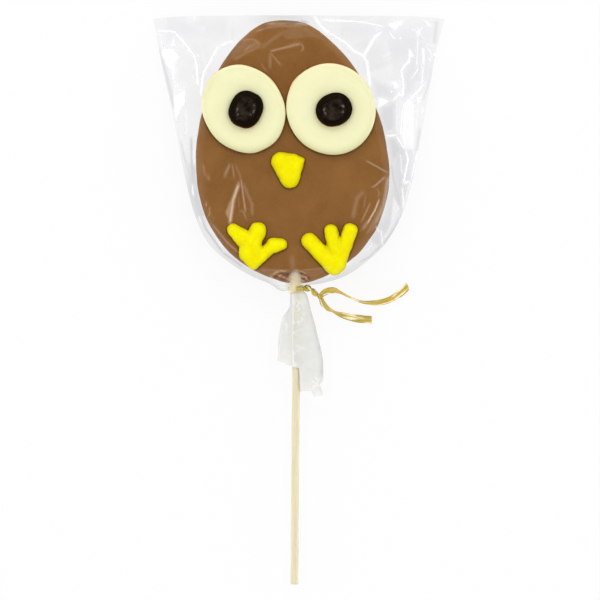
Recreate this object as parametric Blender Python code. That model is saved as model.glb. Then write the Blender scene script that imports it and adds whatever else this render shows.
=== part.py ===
"""Marshmallow lollipop: a chocolate-coated, egg-shaped marshmallow with an owlet's face, on a wooden
stick, in a clear bag tied at the neck. It lies on its back, face up, with its stick toward -Y.

Metres, +Z up. The origin is the middle of the lollipop's footprint, on the surface it lies on.
"""

import math

import bmesh
import bpy
import numpy as np

MM = 0.001
GAP = 0.3 * MM                      # clearance between pieces that touch

# Bag
BAG_WALL = 0.5 * MM                 # least thickness of the bag over what it holds
BAG_EDGE = 0.7 * MM                 # thickness along the folded sides and the sealed top
BAG_CORNER_DROP = 1.4 * MM          # the two top corners hang below the middle of the seal
BAG_LEFT_SIDE = (                   # x and y in millimetres, from the top corner down to the neck
    (-65.7, 126.6), (-62.1, 107.9), (-56.6, 82.0), (-51.8, 57.5), (-47.0, 38.5),
    (-41.0, 25.8), (-31.5, 16.9), (-20.7, 10.3), (-12.0, 7.4), (-4.2, 6.4),
)
BAG_RIGHT_SIDE = (
    (65.7, 126.6), (61.9, 113.0), (59.0, 96.0), (54.6, 72.0), (50.9, 53.0),
    (45.9, 37.5), (38.8, 25.1), (30.6, 17.3), (21.2, 10.9), (11.0, 7.6), (2.2, 6.4),
)
BAG_COLUMNS = 30
BAG_ROWS = 32
BAG_CROWDING = 0.65                 # how much closer the mesh lines lie at the bag's rim
BAG_SIDE_REST = 1.2 * MM            # height of the bag's rim far from the head
BAG_SIDE_REACH = 15.0 * MM          # distance over which the rim sinks to that height
BAG_SIDE_START = 6.0 * MM           # the rim keeps the stick's height this close to the head

# Head
HEAD_HALF_LENGTH = 58.3 * MM
HEAD_HALF_WIDTH = 42.9 * MM
HEAD_TAPER = 0.147                  # the upper end is narrower than the lower end
HEAD_LEAN = math.radians(5.1)
HEAD_CENTRE = (-3.7 * MM, 67.5 * MM)
HEAD_THICKNESS = 14.0 * MM
HEAD_CROWN = 0.6 * MM
HEAD_FRONT_ROUND = 4.0 * MM
HEAD_BACK_ROUND = 2.0 * MM
HEAD_SIDES = 56
HEAD_GAP_SIDES = 44
HEAD_BASE = BAG_WALL + GAP
HEAD_TOP = HEAD_BASE + HEAD_THICKNESS

# Stick
STICK_LENGTH = 200.0 * MM
STICK_RADIUS = 1.8 * MM
STICK_END = -128.0 * MM
STICK_END_X = -2.1 * MM
STICK_LEAN = math.radians(0.46)
STICK_HEIGHT = HEAD_BASE + HEAD_THICKNESS / 2.0
STICK_SIDES = 16

# Face: eye discs of white chocolate, pupils of dark chocolate
EYE_HEIGHT = 3.2 * MM               # above the middle of the head
EYE_SINK = 0.6 * MM                 # how far a disc starts below the head's crown before it is fitted
EYE_ROUND = 1.5 * MM
EYE_SIDES = 36
EYES = {
    "left": {"centre": (-24.9, 85.7), "half": (18.0, 20.5), "lean": 32.0},
    "right": {"centre": (14.3, 85.6), "half": (19.8, 20.8), "lean": 30.0},
}
PUPIL_HALF_HEIGHT = 3.0 * MM
PUPIL_RISE = 1.6 * MM               # height of a pupil's middle above its disc
PUPILS = {
    "left": {"centre": (-23.8, 85.3), "half": (7.4, 8.4), "lean": -24.0},
    "right": {"centre": (15.7, 85.2), "half": (8.3, 7.5), "lean": 23.0},
}

# Icing: each stroke is drawn tight round its blobs, given as x, y and radius in millimetres
BEAK_STROKES = (
    ((-8.3, 62.1, 4.2), (-2.5, 62.7, 2.8), (1.1, 62.4, 1.4), (-4.1, 54.5, 4.3)),
)
LEFT_FOOT_STROKES = (
    ((-21.6, 21.8, 5.5), (-20.4, 15.9, 2.5)),
    ((-29.5, 31.4, 2.8), (-21.5, 24.8, 4.8)),
    ((-18.6, 31.0, 3.9), (-21.7, 19.2, 2.6)),
    ((-7.9, 24.9, 2.6), (-11.3, 24.4, 3.4), (-15.3, 22.1, 1.8)),
    ((-13.0, 22.9, 2.5), (-19.7, 17.8, 3.2)),
)
RIGHT_FOOT_STROKES = (
    ((4.5, 26.6, 3.5), (15.9, 14.9, 4.0)),
    ((14.3, 30.8, 3.1), (17.8, 15.6, 3.4)),
    ((22.9, 31.1, 3.3), (17.6, 15.4, 3.0)),
)
ICING_RISE = 1.7 * MM               # height of a stroke of no width
ICING_SLOPE = 0.35                  # further height for each unit of radius
ICING_LIFT = 0.5 * MM

# Neck, tail and tie
NECK_RADIUS = 3.1 * MM
NECK_Y = 6.4 * MM
TAIL_SIDES = 20
TAIL_WALL = 0.5 * MM
TAIL_STATIONS = (                   # y, reach left and right of the stick, half height, in millimetres
    (7.6, 2.7, 2.7, 2.7),
    (4.2, 2.8, 2.8, 2.8),
    (2.6, 3.0, 4.6, 2.9),
    (-3.0, 2.9, 6.4, 3.1),
    (-8.0, 6.4, 7.7, 3.3),
    (-14.5, 7.8, 9.4, 3.6),
    (-21.0, 8.3, 11.2, 3.9),
    (-27.5, 8.6, 12.5, 4.2),
)
TAIL_MOUTH_Y = -34.5 * MM
TAIL_MOUTH_REACH = (8.7, 13.0, 4.5)
TAIL_MOUTH_SLANT = 0.66             # the mouth is cut longer on the right
TAIL_MOUTH_LAP = 3.0 * MM           # the back of the mouth hangs below its front
RING_INNER = 3.4 * MM
RING_OUTER = 4.2 * MM
RING_Y = 5.05 * MM
RING_WIDTH = 1.9 * MM
RING_SIDES = 20
RIBBON_WIDTH = 3.6 * MM
RIBBON_THICKNESS = 0.5 * MM
RIBBON_STEPS = 26
TWIST_PATH = ((2.95, 5.0, 8.4), (5.5, 4.4, 8.9), (7.6, 2.9, 8.8), (10.0, 1.4, 8.4))
TWIST_HALF = (1.4, 1.0)             # half width and half thickness of the twisted pair at the neck
TWIST_TAPER = 0.3
TWIST_TURNS = 0.75
UPPER_RIBBON = (                    # x, y, z and the width seen from above, in millimetres
    (8.6, 1.9, 8.4, 1.8), (11.6, 4.0, 9.6, 3.0), (15.2, 4.5, 9.8, 3.2), (18.6, 3.4, 9.0, 1.4),
    (22.7, 1.1, 7.8, 1.1), (26.4, -0.5, 6.6, 1.2), (30.5, -1.3, 5.5, 1.8), (35.6, -1.3, 4.3, 2.6),
    (40.8, 0.0, 3.2, 2.9), (46.0, 3.1, 2.3, 3.1), (49.1, 6.3, 1.9, 3.3),
)
LOWER_RIBBON = (
    (9.4, 1.7, 8.2, 1.8), (10.4, -1.6, 7.6, 2.4), (12.9, -4.1, 6.4, 2.0), (15.4, -5.3, 5.4, 1.1),
    (18.6, -6.6, 4.3, 2.3), (22.9, -7.9, 3.0, 3.3), (28.0, -8.7, 1.8, 3.5), (32.8, -9.0, 1.0, 3.5),
)

COLOURS = {                         # sRGB colour, roughness, opacity
    "chocolate": ((140, 96, 52), 0.42, 1.0),
    "white_chocolate": ((246, 240, 197), 0.40, 1.0),
    "dark_chocolate": ((33, 23, 15), 0.30, 1.0),
    "icing": ((251, 237, 4), 0.38, 1.0),
    "wood": ((234, 222, 192), 0.65, 1.0),
    "film": ((244, 245, 246), 0.08, 0.25),
    "ribbon": ((224, 196, 104), 0.45, 1.0),
}


def clear_scene():
    for item in list(bpy.data.objects):
        bpy.data.objects.remove(item, do_unlink=True)


def srgb_to_linear(value):
    share = value / 255.0
    if share <= 0.04045:
        return share / 12.92
    return ((share + 0.055) / 1.055) ** 2.4


def make_materials():
    materials = {}
    for name, (colour, roughness, opacity) in COLOURS.items():
        material = bpy.data.materials.new(name)
        material.use_nodes = True
        shader = material.node_tree.nodes["Principled BSDF"]
        shader.inputs["Base Color"].default_value = (*[srgb_to_linear(c) for c in colour], 1.0)
        shader.inputs["Roughness"].default_value = roughness
        shader.inputs["Metallic"].default_value = 0.0
        shader.inputs["Alpha"].default_value = opacity
        materials[name] = material
    return materials


def finish_mesh(name, mesh_data, material=None):
    """An object from a bmesh, its faces turned outward. Without a material it is a hidden cutter."""
    bmesh.ops.recalc_face_normals(mesh_data, faces=mesh_data.faces)
    mesh = bpy.data.meshes.new(name)
    mesh_data.to_mesh(mesh)
    mesh_data.free()
    item = bpy.data.objects.new(name, mesh)
    bpy.context.scene.collection.objects.link(item)
    if material is None:
        item.hide_render = True
        item.display_type = "WIRE"
    else:
        mesh.materials.append(material)
        mesh.shade_smooth()
        mesh.set_sharp_from_angle(angle=math.radians(40.0))
    return item


def loft(name, rings, material=None, apex=None):
    """A closed body through rings of equally many points. The last ring may close on an apex."""
    mesh_data = bmesh.new()
    rows = [[mesh_data.verts.new(point) for point in ring] for ring in rings]
    count = len(rows[0])
    for lower, upper in zip(rows, rows[1:]):
        for i in range(count):
            j = (i + 1) % count
            mesh_data.faces.new((lower[i], lower[j], upper[j], upper[i]))
    mesh_data.faces.new(list(reversed(rows[0])))
    if apex is None:
        mesh_data.faces.new(rows[-1])
    else:
        tip = mesh_data.verts.new(apex)
        for i in range(count):
            mesh_data.faces.new((rows[-1][i], rows[-1][(i + 1) % count], tip))
    return finish_mesh(name, mesh_data, material)


def hull(name, points, material=None):
    """The convex body round a cloud of points."""
    mesh_data = bmesh.new()
    for point in points:
        mesh_data.verts.new(point)
    result = bmesh.ops.convex_hull(mesh_data, input=mesh_data.verts)
    loose = {item for item in result["geom_interior"] if isinstance(item, bmesh.types.BMVert)}
    bmesh.ops.delete(mesh_data, geom=list(loose), context="VERTS")
    return finish_mesh(name, mesh_data, material)


def combine(target, operation, tools):
    """Adds one Boolean for each tool, in order."""
    for tool in tools:
        modifier = target.modifiers.new(f"{operation.lower()} {tool.name}", "BOOLEAN")
        modifier.operation = operation
        modifier.solver = "EXACT"
        modifier.object = tool


def curve_points(knots, fractions):
    """Points at these fractions of the length of a smooth curve through the knots."""
    knots = np.array(knots, dtype=float)
    padded = np.vstack([2.0 * knots[0] - knots[1], knots, 2.0 * knots[-1] - knots[-2]])
    t = np.linspace(0.0, 1.0, 13)[:-1, None]
    spans = []
    for i in range(len(knots) - 1):
        a, b, c, d = padded[i:i + 4]
        spans.append(0.5 * (2.0 * b + (c - a) * t + (2.0 * a - 5.0 * b + 4.0 * c - d) * t ** 2
                            + (3.0 * b - a - 3.0 * c + d) * t ** 3))
    dense = np.vstack(spans + [knots[-1:]])
    steps = np.linalg.norm(np.diff(dense[:, :3], axis=0), axis=1)
    travelled = np.concatenate([[0.0], np.cumsum(steps)])
    wanted = np.asarray(fractions) * travelled[-1]
    return np.stack([np.interp(wanted, travelled, column) for column in dense.T], axis=1)


def head_outline(count, offset=0.0):
    """The head's egg-shaped outline, clockwise from its narrow upper end, moved outward by offset."""
    t = np.linspace(0.0, 2.0 * math.pi, count, endpoint=False)
    across = HEAD_HALF_WIDTH * (1.0 - HEAD_TAPER * np.cos(t)) * np.sin(t)
    along = HEAD_HALF_LENGTH * np.cos(t)
    lean_cos = math.cos(HEAD_LEAN)
    lean_sin = math.sin(HEAD_LEAN)
    x = HEAD_CENTRE[0] + lean_cos * across - lean_sin * along
    y = HEAD_CENTRE[1] + lean_sin * across + lean_cos * along
    outline = np.stack([x, y], axis=1)
    tangent = np.roll(outline, -1, axis=0) - np.roll(outline, 1, axis=0)
    tangent /= np.linalg.norm(tangent, axis=1, keepdims=True)
    outward = np.stack([-tangent[:, 1], tangent[:, 0]], axis=1)
    return outline + offset * outward


def head_inset(x, y):
    """How far points lie inside the head's outline (negative outside), and their share of its radius."""
    outline = head_outline(240)
    offset = outline - np.array(HEAD_CENTRE)
    angles = np.arctan2(offset[:, 1], offset[:, 0])
    order = np.argsort(angles)
    radii = np.linalg.norm(offset, axis=1)
    from_centre = np.hypot(x - HEAD_CENTRE[0], y - HEAD_CENTRE[1])
    angle = np.arctan2(y - HEAD_CENTRE[1], x - HEAD_CENTRE[0])
    reach = np.interp(angle, angles[order], radii[order], period=2.0 * math.pi)
    flat_x = np.ravel(x)[:, None] - outline[None, :, 0]
    flat_y = np.ravel(y)[:, None] - outline[None, :, 1]
    distance = np.hypot(flat_x, flat_y).min(axis=1).reshape(np.shape(x))
    return np.where(from_centre < reach, distance, -distance), from_centre / reach


def head_height(x, y, grow=0.0):
    """Height of the head's front face, grown by this much; -1 where the head isn't."""
    inset, share = head_inset(x, y)
    inset = inset + grow
    rounding = HEAD_FRONT_ROUND + grow
    drop = rounding - np.sqrt(np.clip(rounding ** 2 - np.clip(rounding - inset, 0.0, None) ** 2, 0.0, None))
    crown = HEAD_CROWN * np.clip(1.0 - share ** 2, 0.0, 1.0)
    return np.where(inset > 0.0, HEAD_TOP + grow + crown - drop, -1.0)


def make_head(name, sides, material=None, grow=0.0):
    """The flat-backed head. With grow it is the cutter that leaves a gap round it."""
    steps = 4
    back = HEAD_BACK_ROUND + grow
    front = HEAD_FRONT_ROUND + grow
    base = HEAD_BASE - grow
    top = HEAD_TOP + grow
    profile = []
    for k in range(steps + 1):
        angle = 0.5 * math.pi * k / steps
        profile.append((back * (1.0 - math.sin(angle)), base + back * (1.0 - math.cos(angle))))
    for k in range(steps + 1):
        angle = 0.5 * math.pi * k / steps
        profile.append((front * (1.0 - math.cos(angle)), top - front * (1.0 - math.sin(angle))))
    rings = []
    for inset, height in profile:
        rings.append([(x, y, height) for x, y in head_outline(sides, grow - inset)])
    face = head_outline(sides, grow - front) - np.array(HEAD_CENTRE)
    for scale in (0.8, 0.4):
        height = top + HEAD_CROWN * (1.0 - scale ** 2)
        rings.append([(HEAD_CENTRE[0] + scale * x, HEAD_CENTRE[1] + scale * y, height) for x, y in face])
    return loft(name, rings, material, apex=(*HEAD_CENTRE, top + HEAD_CROWN))


def stick_x(y):
    return STICK_END_X + (y - STICK_END) * math.tan(STICK_LEAN)


def make_rod(name, start_y, end_y, radius, material=None, chamfer=0.0):
    """A round rod along the stick's axis."""
    stations = ((start_y, radius - chamfer), (start_y - chamfer, radius),
                (end_y + chamfer, radius), (end_y, radius - chamfer))
    if chamfer == 0.0:
        stations = stations[1:3]
    rings = []
    for y, r in stations:
        ring = []
        for k in range(STICK_SIDES):
            angle = 2.0 * math.pi * k / STICK_SIDES
            ring.append((stick_x(y) + r * math.cos(angle), y, STICK_HEIGHT + r * math.sin(angle)))
        rings.append(ring)
    return loft(name, rings, material)


def along_axes(x, y, centre, lean):
    """Offsets from a centre, along axes that lean anticlockwise by this many degrees."""
    lean_cos = math.cos(math.radians(lean))
    lean_sin = math.sin(math.radians(lean))
    return ((x - centre[0]) * lean_cos + (y - centre[1]) * lean_sin,
            (y - centre[1]) * lean_cos - (x - centre[0]) * lean_sin)


def make_eye(name, eye, material=None, grow=0.0):
    """A round-edged disc. Its underside is cut to the head afterwards."""
    lean = math.radians(eye["lean"])
    rounding = EYE_ROUND + grow
    base = HEAD_TOP + HEAD_CROWN - EYE_SINK - grow
    top = HEAD_TOP + HEAD_CROWN + EYE_HEIGHT + grow
    profile = [(0.4 * MM, base), (0.0, base + 0.4 * MM)]
    for k in range(5):
        angle = 0.5 * math.pi * k / 4
        profile.append((rounding * (1.0 - math.cos(angle)), top - rounding * (1.0 - math.sin(angle))))
    rings = []
    for inset, height in profile:
        ring = []
        for k in range(EYE_SIDES):
            angle = 2.0 * math.pi * k / EYE_SIDES
            u = (eye["half"][0] * MM + grow - inset) * math.cos(angle)
            v = (eye["half"][1] * MM + grow - inset) * math.sin(angle)
            x = eye["centre"][0] * MM + u * math.cos(lean) - v * math.sin(lean)
            y = eye["centre"][1] * MM + u * math.sin(lean) + v * math.cos(lean)
            ring.append((x, y, height))
        rings.append(ring)
    return loft(name, rings, material)


def ellipsoid_points(centre, half, sides, rings, lean=0.0):
    lean_cos = math.cos(math.radians(lean))
    lean_sin = math.sin(math.radians(lean))
    points = [(centre[0], centre[1], centre[2] + half[2]), (centre[0], centre[1], centre[2] - half[2])]
    for j in range(1, rings):
        tilt = math.pi * j / rings
        for k in range(sides):
            angle = 2.0 * math.pi * k / sides
            u = half[0] * math.sin(tilt) * math.cos(angle)
            v = half[1] * math.sin(tilt) * math.sin(angle)
            points.append((centre[0] + u * lean_cos - v * lean_sin, centre[1] + u * lean_sin + v * lean_cos,
                           centre[2] + half[2] * math.cos(tilt)))
    return points


def make_pupil(name, pupil, material=None, grow=0.0):
    """A lens-shaped drop that sits in a dimple of its disc."""
    centre = (pupil["centre"][0] * MM, pupil["centre"][1] * MM,
              HEAD_TOP + HEAD_CROWN + EYE_HEIGHT + PUPIL_RISE)
    half = (pupil["half"][0] * MM + grow, pupil["half"][1] * MM + grow, PUPIL_HALF_HEIGHT + grow)
    return hull(name, ellipsoid_points(centre, half, sides=18, rings=8, lean=pupil["lean"]), material)


def icing_rise(radius):
    return ICING_RISE + ICING_SLOPE * radius


def make_stroke(name, blobs, material=None, grow=0.0):
    """One stroke of icing: the convex body round its blobs, each set on the head's face."""
    points = []
    for x, y, radius in blobs:
        height = float(head_height(np.array(x * MM), np.array(y * MM))) + ICING_LIFT
        half = (radius * MM + grow, radius * MM + grow, icing_rise(radius * MM) + grow)
        points += ellipsoid_points((x * MM, y * MM, height), half, sides=16, rings=6)
    return hull(name, points, material)


def make_icing(name, strokes, material, head_cutter):
    """Strokes joined into one piece and cut to the head's face, with their grown cutters."""
    piece = make_stroke(name, strokes[0], material)
    others = [make_stroke(f"cutter {name} stroke {i}", blobs) for i, blobs in enumerate(strokes[1:], 2)]
    combine(piece, "UNION", others)
    combine(piece, "DIFFERENCE", [head_cutter])
    return [make_stroke(f"cutter {name} gap {i}", blobs, grow=GAP) for i, blobs in enumerate(strokes, 1)]


def blob_heights(x, y, centre, half, lean=0.0):
    """Height of the top of an ellipsoid over the points; -1 beside it."""
    u, v = along_axes(x, y, centre, lean)
    share = (u / half[0]) ** 2 + (v / half[1]) ** 2
    return np.where(share < 1.0, centre[2] + half[2] * np.sqrt(np.clip(1.0 - share, 0.0, 1.0)), -1.0)


def contents_height(x, y, grow):
    """Height of the top of all that the bag holds, grown by this much; -1 where there is nothing."""
    height = head_height(x, y, grow)
    for eye in EYES.values():
        half = np.array(eye["half"]) * MM + grow
        u, v = along_axes(x, y, np.array(eye["centre"]) * MM, eye["lean"])
        share = np.hypot(u / half[0], v / half[1])
        height = np.where(share < 1.0, np.maximum(height, HEAD_TOP + HEAD_CROWN + EYE_HEIGHT + grow), height)
    for pupil in PUPILS.values():
        centre = (pupil["centre"][0] * MM, pupil["centre"][1] * MM,
                  HEAD_TOP + HEAD_CROWN + EYE_HEIGHT + PUPIL_RISE)
        half = (pupil["half"][0] * MM + grow, pupil["half"][1] * MM + grow, PUPIL_HALF_HEIGHT + grow)
        height = np.maximum(height, blob_heights(x, y, centre, half, pupil["lean"]))
    for strokes in (BEAK_STROKES, LEFT_FOOT_STROKES, RIGHT_FOOT_STROKES):
        for blobs in strokes:
            for start, end in zip(blobs, blobs[1:] + blobs[:1]):
                for share in np.linspace(0.0, 1.0, 7):
                    cx, cy, radius = ((1.0 - share) * np.array(start) + share * np.array(end)) * MM
                    base = float(head_height(np.array(cx), np.array(cy))) + ICING_LIFT
                    half = (radius + grow, radius + grow, icing_rise(radius) + grow)
                    height = np.maximum(height, blob_heights(x, y, (cx, cy, base), half))
    return height


def crowded(count):
    """Fractions from 0 to 1 that lie closer together at both ends."""
    share = np.linspace(0.0, 1.0, count + 1)
    return share - BAG_CROWDING * np.sin(2.0 * math.pi * share) / (2.0 * math.pi)


def bag_plan():
    """The bag seen from above: a grid of points, from its sealed top down to its neck."""
    down = crowded(BAG_ROWS)
    across = crowded(BAG_COLUMNS)
    left = curve_points(BAG_LEFT_SIDE, down) * MM
    right = curve_points(BAG_RIGHT_SIDE, down) * MM
    plan = left[:, None, :] * (1.0 - across)[None, :, None] + right[:, None, :] * across[None, :, None]
    top_line = BAG_CORNER_DROP * (1.0 - (2.0 * across - 1.0) ** 8)
    plan[:, :, 1] += (1.0 - down)[:, None] ** 2 * top_line[None, :]
    return plan


def finer(grid, factor):
    """A grid with this many steps in place of each one."""
    rows = np.linspace(0.0, grid.shape[0] - 1.0, (grid.shape[0] - 1) * factor + 1)
    columns = np.linspace(0.0, grid.shape[1] - 1.0, (grid.shape[1] - 1) * factor + 1)
    tall = np.stack([np.interp(rows, np.arange(grid.shape[0]), grid[:, i]) for i in range(grid.shape[1])], axis=1)
    return np.stack([np.interp(columns, np.arange(grid.shape[1]), row) for row in tall])


def contents_cover(plan, grow):
    """For each point of the grid, the highest contents in the cells round it."""
    factor = 4
    height = contents_height(finer(plan[:, :, 0], factor), finer(plan[:, :, 1], factor), grow)
    padded = np.pad(height, factor, constant_values=-1.0)
    rows, columns = height.shape
    cover = np.full_like(height, -1.0)
    for i in range(2 * factor + 1):
        for j in range(2 * factor + 1):
            cover = np.maximum(cover, padded[i:i + rows, j:j + columns])
    return cover[::factor, ::factor]


def stretch(height, plan, least, passes=900):
    """A taut skin with a fixed rim: each inner point goes to its neighbours' mean, or up to least."""
    above = 1.0 / np.linalg.norm(plan[1:-1, 1:-1] - plan[:-2, 1:-1], axis=2)
    below = 1.0 / np.linalg.norm(plan[1:-1, 1:-1] - plan[2:, 1:-1], axis=2)
    left = 1.0 / np.linalg.norm(plan[1:-1, 1:-1] - plan[1:-1, :-2], axis=2)
    right = 1.0 / np.linalg.norm(plan[1:-1, 1:-1] - plan[1:-1, 2:], axis=2)
    total = above + below + left + right
    for _ in range(passes):
        mean = (above * height[:-2, 1:-1] + below * height[2:, 1:-1]
                + left * height[1:-1, :-2] + right * height[1:-1, 2:]) / total
        height[1:-1, 1:-1] = np.maximum(mean, least[1:-1, 1:-1])
    return height


def bag_heights(plan):
    """Heights of the bag's front and back sheets over the grid."""
    inset, _ = head_inset(plan[:, :, 0], plan[:, :, 1])
    sink = np.exp(-np.clip(-inset - BAG_SIDE_START, 0.0, None) / BAG_SIDE_REACH)
    rim = BAG_SIDE_REST + (STICK_HEIGHT - BAG_SIDE_REST) * sink
    from_axis = plan[-1, :, 0] - stick_x(NECK_Y)
    neck = np.sqrt(np.clip(NECK_RADIUS ** 2 - from_axis ** 2, (BAG_EDGE / 2.0) ** 2, None))
    cover = contents_cover(plan, BAG_WALL + GAP)
    front = rim + BAG_EDGE / 2.0
    front[-1] = STICK_HEIGHT + neck
    front = stretch(front, plan, cover)
    back = rim - BAG_EDGE / 2.0
    back[-1] = STICK_HEIGHT - neck
    under = np.where(cover > 0.0, 0.0, 1.0)
    back = -stretch(-back, plan, -under)
    return front, np.clip(back, 0.0, None)


def make_bag_body(name, material):
    """The bag from its sealed top to its neck: a front and a back sheet joined along their rim."""
    plan = bag_plan()
    front, back = bag_heights(plan)
    mesh_data = bmesh.new()
    sheets = []
    for heights in (front, back):
        sheets.append([[mesh_data.verts.new((*plan[j, i], heights[j, i])) for i in range(BAG_COLUMNS + 1)]
                       for j in range(BAG_ROWS + 1)])
    upper, lower = sheets
    for j in range(BAG_ROWS):
        for sheet in sheets:
            for i in range(BAG_COLUMNS):
                mesh_data.faces.new((sheet[j][i], sheet[j + 1][i], sheet[j + 1][i + 1], sheet[j][i + 1]))
        for i in (0, BAG_COLUMNS):
            mesh_data.faces.new((upper[j][i], upper[j + 1][i], lower[j + 1][i], lower[j][i]))
    for i in range(BAG_COLUMNS):
        mesh_data.faces.new((upper[0][i], upper[0][i + 1], lower[0][i + 1], lower[0][i]))
    mesh_data.faces.new(upper[-1] + lower[-1][::-1])
    return finish_mesh(name, mesh_data, material)


def tail_ring(y, left, right, half_height, slant=0.0, lap=0.0):
    """One ring of the tail round the stick, wider on the right."""
    ring = []
    for k in range(TAIL_SIDES):
        angle = 2.0 * math.pi * k / TAIL_SIDES
        reach = right if math.cos(angle) > 0.0 else left
        aside = reach * math.cos(angle)
        point_y = y - slant * aside + lap * math.sin(angle)
        ring.append((stick_x(y) + aside, point_y, STICK_HEIGHT + half_height * math.sin(angle)))
    return ring


def make_tail(name, shrink, first_station, overrun):
    """The bag's gathered tail. A shrunken one that starts later and runs past the mouth hollows it."""
    rings = []
    for y, left, right, half_height in TAIL_STATIONS[first_station:]:
        rings.append(tail_ring(y * MM, left * MM - shrink, right * MM - shrink, half_height * MM - shrink))
    left, right, half_height = (value * MM - shrink for value in TAIL_MOUTH_REACH)
    rings.append(tail_ring(TAIL_MOUTH_Y, left, right, half_height, TAIL_MOUTH_SLANT, TAIL_MOUTH_LAP))
    if overrun > 0.0:
        rings.append(tail_ring(TAIL_MOUTH_Y - overrun, left, right, half_height,
                               TAIL_MOUTH_SLANT, TAIL_MOUTH_LAP))
    return loft(name, rings)


def make_bag(material, pocket_tools):
    """The bag, cut round all that it holds and open where the stick and the tail's mouth come out."""
    bag = make_bag_body("bag", material)
    combine(bag, "UNION", [make_tail("cutter tail", 0.0, 0, 0.0)])
    passage = make_rod("cutter passage", 12.0 * MM, 0.0, STICK_RADIUS + GAP)
    hollow = make_tail("cutter tail hollow", TAIL_WALL, 2, 4.0 * MM)
    combine(bag, "DIFFERENCE", pocket_tools + [hollow, passage])


def make_ring(name, material):
    """The ribbon's turn round the neck: a flat band."""
    mesh_data = bmesh.new()
    corners = ((RING_INNER, -0.5), (RING_OUTER, -0.3), (RING_OUTER, 0.3), (RING_INNER, 0.5))
    loops = []
    for k in range(RING_SIDES):
        angle = 2.0 * math.pi * k / RING_SIDES
        loop = []
        for radius, side in corners:
            y = RING_Y + side * RING_WIDTH
            loop.append(mesh_data.verts.new((stick_x(y) + radius * math.cos(angle), y,
                                             STICK_HEIGHT + radius * math.sin(angle))))
        loops.append(loop)
    for k in range(RING_SIDES):
        here, after = loops[k], loops[(k + 1) % RING_SIDES]
        for c in range(len(corners)):
            d = (c + 1) % len(corners)
            mesh_data.faces.new((here[c], here[d], after[d], after[c]))
    return finish_mesh(name, mesh_data, material)


def sweep(name, path, rolls, half_widths, half_thicknesses, shape):
    """A closed strip along a path. A roll of 0 lays its width level."""
    rings = []
    tangents = np.gradient(path, axis=0)
    for point, tangent, roll, width, thickness in zip(path, tangents, rolls, half_widths, half_thicknesses):
        tangent = tangent / np.linalg.norm(tangent)
        side = np.cross((0.0, 0.0, 1.0), tangent)
        side = side / np.linalg.norm(side)
        normal = np.cross(tangent, side)
        wide = math.cos(roll) * side + math.sin(roll) * normal
        thick = -math.sin(roll) * side + math.cos(roll) * normal
        rings.append([tuple(point + width * a * wide + thickness * b * thick) for a, b in shape])
    return loft(name, rings)


def make_ribbon(name, knots):
    """One free end of the ribbon, rolled so that its width seen from above is the one given."""
    line = curve_points(knots, np.linspace(0.0, 1.0, RIBBON_STEPS))
    seen = np.clip(line[:, 3] * MM / RIBBON_WIDTH, 0.0, 1.0)
    count = len(line)
    corners = ((-1.0, -1.0), (1.0, -1.0), (1.0, 1.0), (-1.0, 1.0))
    return sweep(name, line[:, :3] * MM, np.arccos(seen), [RIBBON_WIDTH / 2.0] * count,
                 [RIBBON_THICKNESS / 2.0] * count, corners)


def make_twist(name):
    """The twisted pair of ribbons between the neck and the free ends."""
    share = np.linspace(0.0, 1.0, 12)
    line = curve_points(TWIST_PATH, share) * MM
    scale = 1.0 - TWIST_TAPER * share
    angles = [2.0 * math.pi * k / 10 for k in range(10)]
    shape = [(math.cos(angle), math.sin(angle)) for angle in angles]
    return sweep(name, line, TWIST_TURNS * 2.0 * math.pi * share, TWIST_HALF[0] * MM * scale,
                 TWIST_HALF[1] * MM * scale, shape)


def make_tie(material):
    tie = make_ring("tie", material)
    parts = [make_twist("cutter twist"), make_ribbon("cutter upper ribbon", UPPER_RIBBON),
             make_ribbon("cutter lower ribbon", LOWER_RIBBON)]
    combine(tie, "UNION", parts)


def build():
    clear_scene()
    materials = make_materials()
    head_cutter = make_head("cutter head gap", HEAD_GAP_SIDES, grow=GAP)
    pocket_tools = [head_cutter]

    head = make_head("head", HEAD_SIDES, materials["chocolate"])
    stick_start = STICK_END + STICK_LENGTH
    bore = make_rod("cutter bore", stick_start + GAP, 0.0, STICK_RADIUS + GAP)
    combine(head, "DIFFERENCE", [bore])
    make_rod("stick", stick_start, STICK_END, STICK_RADIUS, materials["wood"], chamfer=0.25 * MM)

    for side in ("left", "right"):
        pupil_gap = make_pupil(f"cutter pupil gap {side}", PUPILS[side], grow=GAP)
        eye = make_eye(f"eye_{side}", EYES[side], materials["white_chocolate"])
        combine(eye, "DIFFERENCE", [head_cutter, pupil_gap])
        make_pupil(f"pupil_{side}", PUPILS[side], materials["dark_chocolate"])
        pocket_tools.append(make_eye(f"cutter eye gap {side}", EYES[side], grow=GAP))
        pocket_tools.append(pupil_gap)

    icing = {"beak": BEAK_STROKES, "foot_left": LEFT_FOOT_STROKES, "foot_right": RIGHT_FOOT_STROKES}
    for name, strokes in icing.items():
        pocket_tools += make_icing(name, strokes, materials["icing"], head_cutter)

    make_bag(materials["film"], pocket_tools)
    make_tie(materials["ribbon"])


build()
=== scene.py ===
"""Looks of the marshmallow lollipop: an egg-shaped, chocolate-coated marshmallow with an owlet's face, on
a wooden stick, in a clear bag tied at the neck with ribbon.

Lengths are in millimetres until they reach a mesh, which is in metres. Names in capitals that the part's
own script also uses mean the same there, and the sizes of the head, its face and the stick are the same.
Those of the tie and the tail differ a little, after the photograph, and the meshes have more sides here.
"""

import math

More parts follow.
